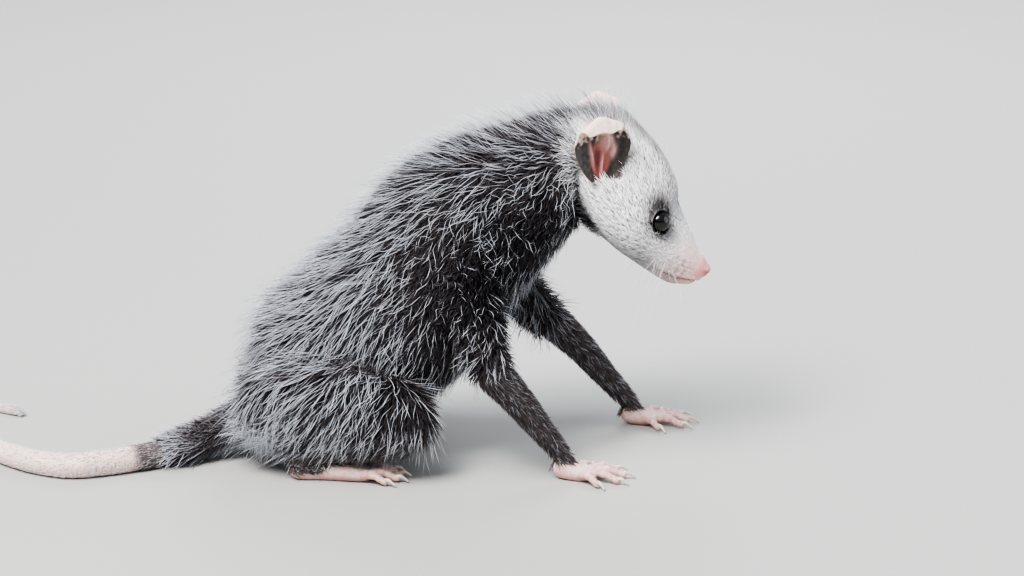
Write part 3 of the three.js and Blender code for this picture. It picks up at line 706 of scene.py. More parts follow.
# Mouth line with a full upper lip over it
def mouth_level(back):
    return np.interp(back, MOUTH_BACK, MOUTH_LEVEL)


gap = up - mouth_level(back)
lips = -0.85 * bump(gap, 0, 0.38) + 0.32 * bump(gap, 1.0, 0.7) - 0.1 * bump(gap, -0.9, 0.5)
moved += raised(on_face * step(17, 15, back) * step(-2, -0.5, back) * lips)
# Nostrils, comma-shaped, and the groove between them
for side in (RIGHT, LEFT):
    pit = distance(points, on_head(-0.4, side * 2.0, -1.9), [1, 0.85, 1])
    slit = distance(points, on_head(0.9, side * 3.1, -2.1))
    moved -= raised(on_face * (1.5 * bump(pit, 0, 0.85) + 0.7 * bump(slit, 0, 0.6)))
moved -= raised(on_face * (back < 1.5) * 0.35 * bump(across, 0, 0.3) * step(-1.0, -2.0, up))
# Low rows that carry the whiskers
for row in range(WHISKER_ROWS):
    crest = bump(gap, 1.9 + row * 1.5, 0.42)
    moved += raised(on_face * 0.16 * crest * step(3.5, 6, back) * step(16, 12, back))


def ear_axes(side):
    """The foot of an ear, and the ways out of its hollow and up along it."""
    foot = on_head(EAR["back"], side * EAR["side"], EAR["up"])
    return foot, unit([0.38, side, 0]), unit([-0.02, side * 0.2, 1])


def ear_surface(side, u, v):
    """The middle of an ear's skin, with u across it from -1 to 1 and v from its foot to its rolled edge."""
    foot, out, high = ear_axes(side)
    front = unit(np.cross(high, out)) * -side
    rim = EAR["height"] - EAR["arch"] * u * u + 0.35 * np.sin(6 * u + 2)
    arc = EAR["fold"] * EAR["turn"]
    run = v * (rim + arc + EAR["flap"] * (1.1 - 0.95 * u * u + 0.12 * np.sin(5 * u + 1)))
    turned = np.clip((run - rim) / EAR["fold"], 0, EAR["turn"])
    past = np.maximum(0, run - rim - arc)
    rise = np.minimum(run, rim) + EAR["fold"] * np.sin(turned) + past * np.cos(turned)
    lean = EAR["fold"] * (1 - np.cos(turned)) + past * np.sin(turned)
    wide = EAR["half"] * np.sin(math.pi * (0.11 + 0.72 * v)) ** 0.8 * (1 + 0.035 * np.sin(11 * v + 1.5))
    cupped = EAR["cup"] * u * u * (1 - 0.6 * v)
    folds = 0.10 * np.sin(u * 15) * step(0.5, 0.7, v)
    return foot + outer(rise, high) + outer(lean + cupped + folds, out) + outer(wide * u, front)


# The hollow of each ear runs on into the side of the head, and the skin draws back from under its cup
HOLLOW_RADIUS = 5.6
hollows, cups = [], []
for side in (RIGHT, LEFT):
    foot, out, high = ear_axes(side)
    hollow = foot + 6.5 * high + 5.4 * out
    reach = distance(moved, hollow)
    inside = (reach < HOLLOW_RADIUS) & (moved[:, 0] > 45)
    moved[inside] = hollow + (moved[inside] - hollow) * (HOLLOW_RADIUS / reach[inside])[:, None]
    hollows.append(hollow)
    v, u = lattice(np.linspace(0.06, 0.6, 34), np.linspace(-0.85, 0.85, 40))
    cups.append(ear_surface(side, u.ravel(), v.ravel()))
cup_tree = tree_of(np.vstack(cups))
FAR_FROM_CUP = 9.0


def from_cup(p):
    """How far each place near the ears lies from their cups."""
    far = np.full(len(p), FAR_FROM_CUP)
    near = np.min([distance(p, hollow) for hollow in hollows], axis=0) < 16
    far[near] = [cup_tree.find(q)[2] for q in p[near]]
    return far


moved -= raised(2.6 * step(2.6, 0.8, from_cup(moved)))
# Creases across each digit, and the pads between them
creased = np.zeros(len(moved))
for side in (RIGHT, LEFT):
    for _, _, digits, stand in paws(side):
        for entry in digits:
            start, way = digit_line(entry, side)
            long = entry[3]
            start, ahead = place_paw(np.array([start, start + way]) + [0, 0, 2.2], stand, side)
            q, way = moved - start, ahead - start
            far = q @ way
            here = step(2.4, 1.7, off_axis(q, way)) * step(-1, 0.5, far) * step(long, long - 1, far)
            for crease in (0.12, 0.3, 0.36, 0.56, 0.62, 0.78):
                creased = np.maximum(creased, here * bump(far, crease * long, 0.22))
            pads = 0.16 * here * bump(far, 0.46 * long, 0.9) + 0.1 * here * bump(far, 0.2 * long, 0.6)
            moved += raised(pads)
moved -= raised(0.13 * creased)
# Soles and palms are flat on the ground
moved[:, 2] = np.maximum(moved[:, 2], 0.0)
write(skin, moved)
points, normals = read(skin)
back, across, up = head_frame(points)

# Which form each place of the skin belongs to, how hair lies there and how long it is
samples, sample_region, sample_lie = [], [], []


def note(region, places, lie):
    samples.append(places)
    sample_region.append(np.full(len(places), REGIONS.index(region)))
    sample_lie.append(np.broadcast_to(lie, (len(places), 3)))


def note_form(region, grid, lie):
    """Notes a form, where lie gives how hair lies from the places and the way the form runs there."""
    places = grid.reshape(-1, 3)
    note(region, places, lie(places, unit(np.gradient(grid, axis=0).reshape(-1, 3))))


def steepness(p):
    """The coat hangs straighter down in front of the haunch."""
    return step(-28, 6, p[:, 0]) * step(54, 26, p[:, 2])


def stacked(x, y, z):
    return np.stack(np.broadcast_arrays(x, y, z), 1)


def body_lie(p, run):
    return stacked(-0.78 + 0.5 * steepness(p), 0, -0.35 - 0.6 * np.clip(np.abs(p[:, 1]) / 20, 0, 1))


def neck_lie(p, run):
    return stacked(-1, 0, -0.15 - 0.6 * np.clip(np.abs(p[:, 1]) / 16, 0, 1))


def haunch_lie(p, run):
    return stacked(-0.75 + 0.7 * steepness(p), 0.5 * np.sign(p[:, 1]), -0.85)


def forward_lie(p, run):
    return run


def backward_lie(p, run):
    return -run


def shank_lie(p, run):
    return run * 0.6 + [-0.2, 0, -0.4]


def arm_lie(p, run):
    return run * 0.5 + [-0.5, 0, -0.6]


note_form("tail_root", spine.grid(40, 32, trunk_swell, 0, 0.3), backward_lie)
note_form("torso", spine.grid(90, 48, trunk_swell, 0.3, 0.811), body_lie)
note_form("neck", spine.grid(30, 40, trunk_swell, 0.811, 1), neck_lie)
note_form("head", head.grid(80, 40, head_swell, 0.06, 1), backward_lie)
for side in (RIGHT, LEFT):
    form = limbs[side]
    note_form("thigh", form["thigh"].grid(60, 32, -COAT_DEPTH), haunch_lie)
    note_form("shank", form["shank"].grid(60, 32, -SHORT_COAT_DEPTH), shank_lie)
    note_form("upper", form["upper"].grid(60, 32, -2.0), arm_lie)
    note_form("fore", form["fore"].grid(60, 32, -SHORT_COAT_DEPTH), forward_lie)
    for name, pad, digits, stand in paws(side):
        grid = Form(pad).grid(14, 16, 0.0, 0.12, 1)
        placed = place_paw(grid.reshape(-1, 3), stand, side)
        note_form(name, placed.reshape(grid.shape), forward_lie)
        for entry in digits:
            start, way = digit_line(entry, side)
            line = start + outer(np.linspace(0, entry[3], 8), way) + [0, 0, 1.8]
            line = place_paw(line, stand, side)
            note(name, line, unit(line[-1] - line[0]))
closest = nearest(np.vstack(samples), points)
region = np.concatenate(sample_region)[closest]


def is_region(*names):
    return np.isin(region, [REGIONS.index(n) for n in names])


furred = is_region(*COATED).astype(float)
lie = blur(skin, unit(np.vstack(sample_lie))[closest], 14)
lie = lie + furred[:, None] * (blur(skin, lie, 220) - lie)
lie = unit(flat_on(lie, normals))


def face_border(u):
    """How far back the white of the face runs: to behind the ears on top, and short of the throat below."""
    return np.interp(u, [-20, -14, -11.8, -6, 0], [27, 33, 44, 56, 60])


length = np.array(list(HAIR_LENGTH.values()))[region]
length *= 1 - 0.62 * is_region("tail_root") * step(-58, -70, points[:, 0])
head_length = 0.7 + 2.5 * step(8, 26, back) + 2.0 * step(24, 38, back) * step(0, 8, up)
head_length += 2.6 * step(36, 52, back)
head_length += 2.0 * step(-6, 3, back - face_border(up)) * step(48, 36, back)
length = np.where(is_region("head"), head_length, length)
length = blur(skin, length[:, None], 10)[:, 0]


def whisker_spot(side, row, place, out):
    """Where a whisker stands: in rows over the mouth line, and so far out from the middle of the head."""
    back = 6.0 + 2.1 * place + 0.5 * (row % 2)
    return on_head(back, side * out, mouth_level(back) + (1.9 + row * 1.45))


WHISKER_DOTS = [
    whisker_spot(side, row, place, 8.0)
    for side in (RIGHT, LEFT)
    for row in range(WHISKER_ROWS)
    for place in range(WHISKERS_IN_ROW)
]


def crown_share(u):
    """1 on the top of the head and 0 on its sides."""
    return step(3, 9, u)


def face_colour(p, for_hair):
    """The head: white cheeks, a grey streak along the crown, dusky rings round the eyes, a pink muzzle, and
    painted shade in the mouth line, the nostrils and round the ear openings.
    """
    b, s, u = head_frame(p)
    colour = np.tile(FACE_WHITE, (len(p), 1)).astype(float)
    grey = 0.75 * bump(s, 0, 2.6 + 0.09 * b) * step(12, 36, b) * step(2, 6, u)
    grey = np.clip(grey + 0.35 * step(26, 46, b) * crown_share(u) * (0.6 + 0.5 * wander(p, 3, 6.0)), 0, 1)
    colour = mix(colour, FACE_GREY, grey)
    ragged = b + 3.5 * wander(p, 1.6, 8.0)
    colour = layered(
        colour,
        (CROWN_GREY, 0.8 * step(47, 56, ragged) * crown_share(u)),
        (BORDER_GREY, 0.85 * step(-5, 4, ragged - face_border(u))),
    )
    if for_hair:
        colour = mix(colour, MUZZLE_HAIR, 0.6 * step(16, 5, b))
    else:
        colour = layered(colour, (PALE_PINK, 0.35), (PINK, 0.75 * step(17, 5, b)))
    for spot in WHISKER_DOTS:
        colour = mix(colour, WHISKER_DOT, 0.8 * bump(distance(p, spot, [1, 0.35, 1]), 0, 0.5))
    for side, centre, look in eyes:
        q = p - centre
        here = s * side > 2
        colour = mix(colour, EYE_GREY, 0.45 * bump(distance(p, centre), 4.2, 1.5) * here)
        for spot_back, spot_up, size, strength in DUSKY_SPOTS:
            d = distance(q - BACK * spot_back, CROWN * spot_up, [0.8, 0.6, 0.9])
            colour = mix(colour, EYE_DUSK, strength * bump(d, 0, size) * here)
        colour = mix(colour, LID_BLACK, 0.97 * step(4.25, 3.7, off_axis(q, look)) * here)
    if for_hair:
        return colour
    gap = u - mouth_level(b)
    colour = layered(
        colour,
        (NOSE_PINK, step(4.4, 2.8, b) * step(-5.6, -4.4, u)),
        # painted shade: dark red along the mouth line
        (SHADE_RED, 0.9 * bump(gap, 0, 0.45) * step(17, 14, b)),
        (LIP_PINK, 0.6 * bump(gap, -1.2, 1.2) * step(17, 12, b)),
    )
    # Painted shade: dark red round the opening of each ear, where the skin draws back
    for hollow in hollows:
        colour = mix(colour, SHADE_RED, step(7.0, 6.2, distance(p, hollow)))
    # Painted shade: near-black in the nostril pits
    for side in (RIGHT, LEFT):
        colour = mix(colour, NOSTRIL_SHADE, bump(distance(p, on_head(-0.2, side * 2.05, -1.9)), 0, 0.9))
    return colour


def coat_colour(p):
    """The felted underfur: charcoal, blackest in the fold of the shoulder, paler on the rump and belly."""
    x, _, z = p.T
    colour = np.tile(UNDERFUR, (len(p), 1)).astype(float)
    fold = bump((x - 31) * 0.78 - (z - 67) * 0.62, 0, 12) * bump((x - 31) * 0.62 + (z - 67) * 0.78, 0, 22)
    low_part = 0.55 * step(34, 8, z) * step(34, 0, x)
    b, _, u = head_frame(p)
    white = step(3, -4, b + 3 * wander(p, 1.6, 8.0) - face_border(u)) * (x > 40) * (u < 3) * (u > -19)
    return layered(
        colour,
        (CHARCOAL, 0.95 * fold + 0.55 * np.clip(wander(p, 8, 2.0), 0, 1)),
        (FLANK_GREY, low_part + 0.25 * np.clip(wander(p, 7, 5.0), 0, 1)),
        (FLANK_GREY, 0.5 * step(-38, -56, x)),
        (NAPE_GREY, 0.7 * step(60, 49, b) * (u > 0)),
        (CHEEK_WHITE, 0.9 * white),
    )


paw = is_region("hand", "foot")
ragged_heel = step(-22, -25, points[:, 0] + 1.2 * wander(points, 1.5, 2.0))
heel = is_region("foot") * ragged_heel * step(1.8, 3.0, points[:, 2])
knuckle = np.clip(0.5 + 0.5 * wander(points, 2.2, 1.0), 0, 1)
paw_tone = layered(
    PALE_PINK,
    (DEEP_PINK, 0.6 * knuckle),
    # painted shade: darker red in the creases across the digits
    (CREASE_SHADE_RED, 0.7 * creased),
    # darker pink on the lowest 2 mm of each paw, by height above the floor
    (LOW_PAW_PINK, 0.5 * step(2.2, 0.6, points[:, 2])),
    (LIMB_GREY, 0.9 * heel),
)
tone = np.where(is_region("head")[:, None], face_colour(points, False), coat_colour(points) * 0.9)
tone = np.where(is_region("shank", "fore")[:, None], LIMB_GREY, tone)
tone = np.where(paw[:, None], paw_tone, tone)
tint(skin, blur(skin, tone, 1))
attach(skin, "root")
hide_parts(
    "torso", "neck", "head", "nose", "tail_base",
    *[
        f"{part}_{which}"
        for which in ("left", "right")
        for part in ("thigh", "shank", "hind_foot", "upper_arm", "forearm", "hand")
    ],
)

claw_mesh = make("claws", *merged(claws), CLAW)
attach(claw_mesh, "root")

# Eyes
for side, centre, look in eyes:
    a, b = lattice(np.linspace(0.02, math.pi - 0.02, 40), round_angles(56))
    ball = np.stack([np.sin(a) * np.cos(b), np.sin(a) * np.sin(b), np.cos(a)], -1)
    ball *= EYE["radius"] * (1 + 0.03 * np.maximum(0, ball @ look)[..., None] ** 6)
    name = SIDE_NAMES[side]
    eye = make(f"eyeball_{name}", *closed_tube(ball[::-1] + centre), EYE_GLOSS)
    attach(eye, "root")
    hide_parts(f"eye_{name}")


# Ears: the hollow side has its folds in relief
def ear_relief(u, v):
    """The height of the folds, and the shares of it that the tragus and the small ridges have."""

    def spot(at_u, at_v, across, along):
        return np.exp(-(((u - at_u) / across) ** 2) - ((v - at_v) / along) ** 2)

    tragus = 2.1 * spot(0.20, 0.50, 0.20, 0.115) * (1 + 0.22 * np.cos(26 * (u - 0.1) + 8 * v))
    small = 1.5 * spot(0.46, 0.37, 0.12, 0.09)
    stalk = 1.2 * spot(0.02 + 0.5 * (v - 0.2), 0.17, 0.075, 0.16)
    rear = 0.8 * spot(-0.42, 0.36, 0.07, 0.18)
    return tragus + small + stalk + rear, np.clip(tragus / 2, 0, 1), np.clip(small + stalk + rear, 0, 1)


rings, sides = 110, 72
v, u = lattice(np.linspace(0, 1, rings), np.linspace(-1, 1, sides))
relief, tragus, ridges = ear_relief(u, v)
thin = 0.40 * (1 - 0.35 * np.abs(u) ** 4)[..., None]
for side in (RIGHT, LEFT):
    middle = ear_surface(side, u.ravel(), v.ravel()).reshape(rings, sides, 3)
    normal = unit(np.cross(np.gradient(middle, axis=1), np.gradient(middle, axis=0)))
    if normal[rings // 3, sides // 2] @ ear_axes(side)[1] < 0:
        normal = -normal
    hollow_side = middle + normal * (thin + relief[..., None])
    back_side = middle - normal * thin
    grain = 0.10 * wander(middle.reshape(-1, 3), 0.8, 3.0).reshape(u.shape)
    rim = step(0.56, 0.68, v + 0.05 * np.cos(3 * u) + grain)
    inside = layered(
        EAR_BLACK,
        (EAR_BROWN, 0.3 + 4.5 * grain),
        (EAR_RED, step(0.62, 0.40, np.hypot((u + 0.05) / 0.9, (v - 0.22) / 0.5))),
        # painted shade: dark red where the ear opens into the head
        (EAR_HOLE_SHADE, 0.85 * step(0.24, 0.08, np.hypot(u + 0.16, (v - 0.27) * 1.3))),
        (PINK, 1.5 * tragus),
        (DEEP_PINK, ridges),
        (EAR_CREAM, rim),
        (EAR_FLUSH, 0.45 * rim * bump(u, 0.42, 0.16) * step(0.8, 0.6, v)),
    )
    outside = mix(EAR_CREAM, EAR_BLACK, 0.7 * step(0.66, 0.35, v))
    loop = np.concatenate([hollow_side, back_side[:, ::-1]], axis=1)
    shade = np.concatenate([inside, outside[:, ::-1]], axis=1)
    if side == RIGHT:
        loop, shade = loop[:, ::-1], shade[:, ::-1]
    name = SIDE_NAMES[side]
    ear = make(f"ear_shell_{name}", *closed_tube(loop), EAR_SKIN)
    tint(ear, shade.reshape(-1, 3))
    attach(ear, "root")
    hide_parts(f"ear_{name}")

# Tail: rows of small scales round it, each raised towards its tip
SCALE_LENGTH, SCALES_ROUND = 0.95, 18
tail = Form([[x, y, r * TAIL_SINK, r, r, r] for x, y, r in TAIL], (0, 0, 1))
tail_shares = np.linspace(0, 1, 600)
tail_line = tail.sample(tail_shares)[0][:, :3]
tail_run = np.concatenate([[0], np.cumsum(np.linalg.norm(np.diff(tail_line, axis=0), axis=1))])


def along_tail(u):
    """Millimetres from the root of the tail."""
    return np.interp(u, tail_shares, tail_run)


rings, sides = ((900, 66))
u, angle = lattice(np.linspace(0, 1, rings), round_angles(sides))
u, angle = u.ravel(), angle.ravel()
row = along_tail(u) / SCALE_LENGTH
around = angle * SCALES_ROUND / (2 * math.pi)
odd = np.floor(row) % 2 * 0.5
edge = np.abs((around + odd) % 1 - 0.5) * 2
scale_height = 0.13 * ((row % 1) ** 0.6) * (1 - edge**3) - 0.05
smooth_tail = tail.points(u, angle, -0.12)
stations, _ = tail.sample(u)
height = scale_height * np.clip(stations[:, 3] / 3.5, 0.3, 1)
tail_points = smooth_tail + unit(smooth_tail - stations[:, :3]) * height[:, None]
tail_points[:, 2] = np.maximum(tail_points[:, 2], 0.0)
tail_mesh = make("tail_scales", *closed_tube(tail_points.reshape(rings, sides, 3)), TAIL_SKIN)
dark = step(12.5, 8.0, along_tail(u) + 1.2 * wander(tail_points, 2.5, 3.0))
tail_tone = layered(
    TAIL_PALE,
    (TAIL_DARK, 0.93 * dark),
    # painted highlight: paler on the raised end of each scale
    (SCALE_TOP_HIGHLIGHT, 0.5 * (1 - dark) * np.clip(scale_height / 0.08, 0, 1)),
    # painted shade: darker pink in the low gaps between the scales
    (SCALE_GAP_SHADE, 0.45 * (1 - dark) * step(0.0, -0.04, scale_height)),
)
tint(tail_mesh, tail_tone)
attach(tail_mesh, "root")
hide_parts("tail_dark", "tail_upper", "tail_middle", "tail_lower", "tail_tip")

# Coat. Each hair is a thin closed blade of three sides, and its UV patch lies at its root's place on the
# skin, unrolled round the body's length.
PATCH = 0.003
MOST_TRIANGLES = 195000
LOWEST, HIGHEST = 0.25, 116.5  # between these heights every hair stays


def unrolled(p):
    x = (p[:, 0] + 160) / 270
    core = np.interp(p[:, 0], [-60, -36, -9, 20, 42, 61, 93], [9, 20, 38, 66, 84, 90, 58])
    round_body = np.arctan2(p[:, 1], p[:, 2] - core) / (2 * math.pi) + 0.5
    return 0.01 + 0.97 * x, 0.01 + 0.97 * round_body


def each_hair(ways, amounts):
    """Every hair's own way by its amount at each step of the hair."""
    return ways[:, None] * amounts[..., None]


def blade_corners(line, t, across, out, way, wide):
    """Three corners round each step of every hair but the last, and its tip."""
    width = np.array([0.9, *np.interp(t[1:-1], [0, 0.35, 1], [1, 1, 0.25])])
    turn = rng.uniform(-0.6, 0.6, len(line))
    flat_way = across * np.cos(turn)[:, None] + out * np.sin(turn)[:, None]
    thick_way = unit(np.cross(flat_way, way))
    corners = []
    for k in range(len(width)):
        c, w = line[:, k], (wide * width[k])[:, None]
        corners += [c - flat_way * w / 2, c + flat_way * w / 2, c + thick_way * w * 0.45]
    return np.stack([*corners, line[:, -1]], 1)


def blade_faces(rings):
    quads = []
    for a in range(0, 3 * (rings - 1), 3):
        quads += [(a, a + 1, a + 4, a + 3), (a + 1, a + 2, a + 5, a + 4), (a + 2, a, a + 3, a + 5)]
    end, tip = 3 * (rings - 1), 3 * rings
    tris = [(end, end + 1, tip), (end + 1, end + 2, tip), (end + 2, end, tip), (2, 1, 0)]
    return np.array(quads), np.array(tris)


def blade_mesh(name, corners, quads, tris, uv):
    """One mesh of many blades, from their corners and the faces of one."""
    m, per, _ = corners.shape
    start = (np.arange(m) * per)[:, None, None]
    loops = np.concatenate([(start + quads).reshape(-1), (start + tris).reshape(-1)]).astype(np.int32)
    total = np.concatenate([np.full(m * len(quads), 4), np.full(m * len(tris), 3)])
    mesh = bpy.data.meshes.new(name)
    mesh.vertices.add(m * per)
    mesh.vertices.foreach_set("co", to_row(corners.reshape(-1, 3)).astype(np.float32).ravel())
    mesh.loops.add(len(loops))
    mesh.loops.foreach_set("vertex_index", loops)
    mesh.polygons.add(len(total))
    mesh.polygons.foreach_set("loop_start", np.concatenate([[0], np.cumsum(total)[:-1]]).astype(np.int32))
    mesh.polygons.foreach_set("loop_total", total.astype(np.int32))
    mesh.uv_layers.new(name="OFBake")
    mesh.uv_layers["OFBake"].uv.foreach_set("vector", uv[loops].astype(np.float32).ravel())
    mesh.update(calc_edges=True)
    mesh.shade_smooth()
    return mesh


def hairs(
    name, roots, out, way, *, long, lift, wide, rings, base, tip,
    mat=HAIR, curl=0.12, sink=0.5, bow=1.0, wave=0.0, gather=None,
):
    """Hairs from roots: out is the skin's normal and way how they lie. lift is the height of the tip, bow
    how the hair rises to it, and gather the way that each tip is drawn towards its wisp."""
    n = len(roots)
    long, lift, wide = (np.broadcast_to(v, n).astype(float) for v in (long, lift, wide))
    across = unit(np.cross(way, out))
    bend = curl * long * rng.normal(0, 1, n)
    t = np.linspace(0, 1, rings + 1)
    flat = np.sqrt(np.maximum(long**2 - lift**2, (0.3 * long) ** 2))
    line = roots[:, None] - out[:, None] * sink + each_hair(way, flat[:, None] * t**1.05)
    line += each_hair(out, (lift + sink)[:, None] * t**bow)
    line += each_hair(across, bend[:, None] * t**2)
    if np.any(wave):
        phase, turns = rng.uniform(0, 2 * math.pi, n), rng.uniform(0.5, 1.3, n)
        sway = np.sin(phase[:, None] + 2 * math.pi * turns[:, None] * t) - np.sin(phase)[:, None]
        line += each_hair(across, np.broadcast_to(wave, n)[:, None] * sway)
    if gather is not None:
        line += gather[:, None] * (t**1.6)[:, None]
    line[..., 2] = np.clip(line[..., 2], LOWEST, HIGHEST)
    corners = blade_corners(line, t, across, out, way, wide)
    quads, tris = blade_faces(rings)
    share = np.array([*np.repeat(t[:-1], 3), 1.0])
    patch_across = np.array([0, PATCH, PATCH / 2] * rings + [PATCH / 2])
    order = np.argsort(roots[:, 0], kind="stable")
    chunk = MOST_TRIANGLES // (2 * len(quads) + len(tris))
    for number, first in enumerate(range(0, n, chunk), 1):
        pick = order[first : first + chunk]
        x, y = unrolled(roots[pick])
        uv = np.stack([x[:, None] + patch_across, y[:, None] + share * PATCH], -1).reshape(-1, 2)
        mesh = blade_mesh(f"{name}_{number}", corners[pick], quads, tris, uv)
        mesh.materials.append(mat)
        obj = add_object(mesh.name, mesh)
        shares = np.broadcast_to(share, (len(pick), len(share)))
        tint(obj, mix(base[pick][:, None], tip[pick][:, None], shares).reshape(-1, 3))
        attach(obj, "root")


# Roots spread evenly over the skin's faces
skin.data.calc_loop_triangles()
corner = fetch(skin.data.loop_triangles, "vertices", 3, np.int32)
a, b, c = (points[corner[:, k]] for k in range(3))
area = 0.5 * np.linalg.norm(np.cross(b - a, c - a), axis=1)


def scatter(density):
    """Roots at so many for each square millimetre, where density is a value for each vertex of the skin."""
    wanted = area * density[corner].mean(1)
    n = int(wanted.sum())
    at = np.searchsorted(np.cumsum(wanted), (np.arange(n) + rng.uniform(0, 1, n)) * wanted.sum() / n)
    at = np.clip(at, 0, len(area) - 1)
    a, b = rng.uniform(0, 1, n), rng.uniform(0, 1, n)
    flip = a + b > 1
    a[flip], b[flip] = 1 - a[flip], 1 - b[flip]
    weights = np.stack([1 - a - b, a, b], 1)

    def take(values):
        return np.einsum("ij,ij...->i...", weights, values[corner[at]])

    out = unit(take(normals))
    return take(points), out, unit(flat_on(unit(take(lie)), out)), take(length), region[corner[at, 0]]


def turned(way, out, angle):
    """The ways turned about the normals."""
    return unit(way * np.cos(angle)[:, None] + np.cross(out, way) * np.sin(angle)[:, None])


def drawn_to(middles, roots, out, most):
    """How tips are drawn along the skin towards the nearest middle of a wisp, at most so far."""
    pull = flat_on(middles[nearest(middles, roots)] - roots, out)
    far = np.linalg.norm(pull, axis=1, keepdims=True)
    return pull * np.minimum(1, most / np.maximum(far, 1e-6))


# Where each kind of hair grows, as shares for each vertex, and how many for each square millimetre
MORE = 1.0
MORE_GUARD_HAIRS = 1
DENSITY = dict(wisps=0.085, underfur=2.7, face_fur=6.5, tufts=0.55, limb_fur=4.0, paw_hairs=2.2)
ear_clear = step(3.0, 4.2, from_cup(points))
for hollow in hollows:
    ear_clear *= step(5.4, 6.2, distance(points, hollow))
eye_clear = np.ones(len(points))
for side, centre, look in eyes:
    off_eye = step(3.6, 4.0, off_axis(points - centre, look))
    eye_clear *= np.maximum(off_eye, side * (points[:, 1] - 3) < 0)
head_coat = np.maximum(step(43, 52, back) * crown_share(up), step(-4, 4, back - face_border(up)))
coated = np.maximum(furred, is_region("head") * head_coat) * ear_clear
short_furred = np.maximum(is_region("shank", "fore").astype(float), heel)
short_furred = blur(skin, short_furred[:, None], 8)[:, 0]
short_furred = step(0.35, 0.6, short_furred + 0.22 * wander(points, 0.9, 4.0))
wisps = scatter(coated * DENSITY["wisps"])[0]

# Underfur: short, fine and dark, a soft felt that shows between the guard hairs
roots, out, way, long, _ = scatter(coated * DENSITY["underfur"] * MORE)
n = len(roots)
way = turned(way, out, 0.30 * wander(roots, 6) + rng.normal(0, 0.35, n))
shade = coat_colour(roots)
tip = mix(shade * rng.uniform(0.9, 1.7, (n, 1)), UNDERFUR_TIP, 0.16 * rng.uniform(0, 1, n) ** 3)
height = np.minimum(COAT_DEPTH + 0.2 + 1.0 * rng.uniform(-1, 1, n), 0.6 * long)
hairs(
    "underfur", roots, out, way, long=long * rng.uniform(0.6, 0.95, n), lift=height, wide=0.46 / MORE**0.5,
    rings=2, base=shade * 0.35, tip=tip, bow=0.8, curl=0.2, gather=0.35 * drawn_to(wisps, roots, out, 2.6),
)


def curliness(p):
    """1 on the shoulder and the side of the neck, where the coat is sparse, short and curled."""
    x, y, z = p.T
    shoulder = bump(x, 22, 15) * bump(z, 64, 17) * step(10, 18, np.abs(y))
    return np.maximum(shoulder, bump(x, 44, 15) * bump(z, 75, 14) * step(6, 13, np.abs(y)))


def rump_share(p):
    return step(8, -22, p[:, 0])


# Guard hairs: long and fine with white ends. They stand up along the back, and stream back over the rump to
# the root of the tail.
flank = bump(points[:, 0], 14, 13) * bump(points[:, 2], 32, 15)
plenty = 0.60 + 0.28 * rump_share(points) + 0.2 * step(-36, -50, points[:, 0])
plenty = plenty - 0.44 * curliness(points) - 0.25 * flank
roots, out, way, long, where = scatter(coated * plenty * MORE_GUARD_HAIRS)
n = len(roots)
x, _, z = roots.T
curled = curliness(roots)
nape = bump(x, 50, 16) * step(78, 92, z)
ridge = step(0.15, 0.8, out[:, 2]) * step(-42, -20, x)
haunch = where == REGIONS.index("thigh")
way = turned(way, out, 0.40 * wander(roots, 8, 4.0) + rng.normal(0, 0.22 + 0.6 * curled, n))
long = long * (1.45 + 0.15 * rump_share(roots) - 0.75 * curled) * rng.uniform(0.7, 1.2, n)
height = COAT_DEPTH + 1.5 + 1.6 * rng.uniform(-1, 1, n) + 3.8 * ridge + 5.2 * nape - 0.8 * curled
height = np.minimum(height, 0.75 * long) - (1.2 + 1.3 * step(-8, 4, x)) * haunch
height *= 1 - 0.35 * (where == REGIONS.index("tail_root"))
ends = mix(COOL_WHITE, WHITE, rng.uniform(0, 1, n)) * rng.uniform(0.75, 1.1, (n, 1))
hairs(
    "guard_hairs", roots, out, way, long=long, lift=height, wide=rng.uniform(0.19, 0.34, n), rings=4,
    base=mix(coat_colour(roots), ends, 0.12), tip=ends, curl=0.10, bow=0.85, wave=0.35 + 0.5 * curled,
    gather=(0.95 - 0.75 * curled)[:, None] * drawn_to(wisps, roots, out, 3.4),
)

# Face: short white fur in small tufts
face = is_region("head") * (1 - 0.8 * head_coat) * eye_clear * ear_clear * step(3.4, 6.5, back)
roots, out, way, long, _ = scatter(face * DENSITY["face_fur"] * MORE)
n = len(roots)
way = turned(way, out, 0.22 * wander(roots, 4, 1.0) + rng.normal(0, 0.18, n))
colour = face_colour(roots, True) * rng.uniform(0.86, 1.1, (n, 1))
tufts = scatter(face * DENSITY["tufts"])[0]
roots_back, _, roots_up = head_frame(roots)
stands = 0.34 + 0.18 * step(20, 36, roots_back) * crown_share(roots_up)
hairs(
    "face_fur", roots, out, way, long=long * rng.uniform(0.75, 1.3, n), lift=stands * long,
    wide=0.32 / MORE**0.5, rings=2, base=colour * 0.78, tip=colour * 1.12, mat=FACE_HAIR,
    sink=0.2, bow=0.9, gather=drawn_to(tufts, roots, out, (0.22 * long)[:, None]),
)

# Shanks, forearms and heels: short grey fur with a few pale hairs
roots, out, way, long, _ = scatter(short_furred * DENSITY["limb_fur"] * MORE)
n = len(roots)
way = turned(way, out, rng.normal(0, 0.25, n))
colour = np.tile(LIMB_GREY, (n, 1)) * rng.uniform(0.6, 1.5, (n, 1))
pale = rng.uniform(0, 1, n) < 0.14
tip = np.where(pale[:, None], np.array(COOL_WHITE) * 0.8, colour * 1.5)
hairs(
    "limb_fur", roots, out, way, long=long * rng.uniform(0.7, 1.2, n), lift=0.3 * long,
    wide=0.4 / MORE**0.5, rings=2, base=colour, tip=tip, sink=0.2,
)

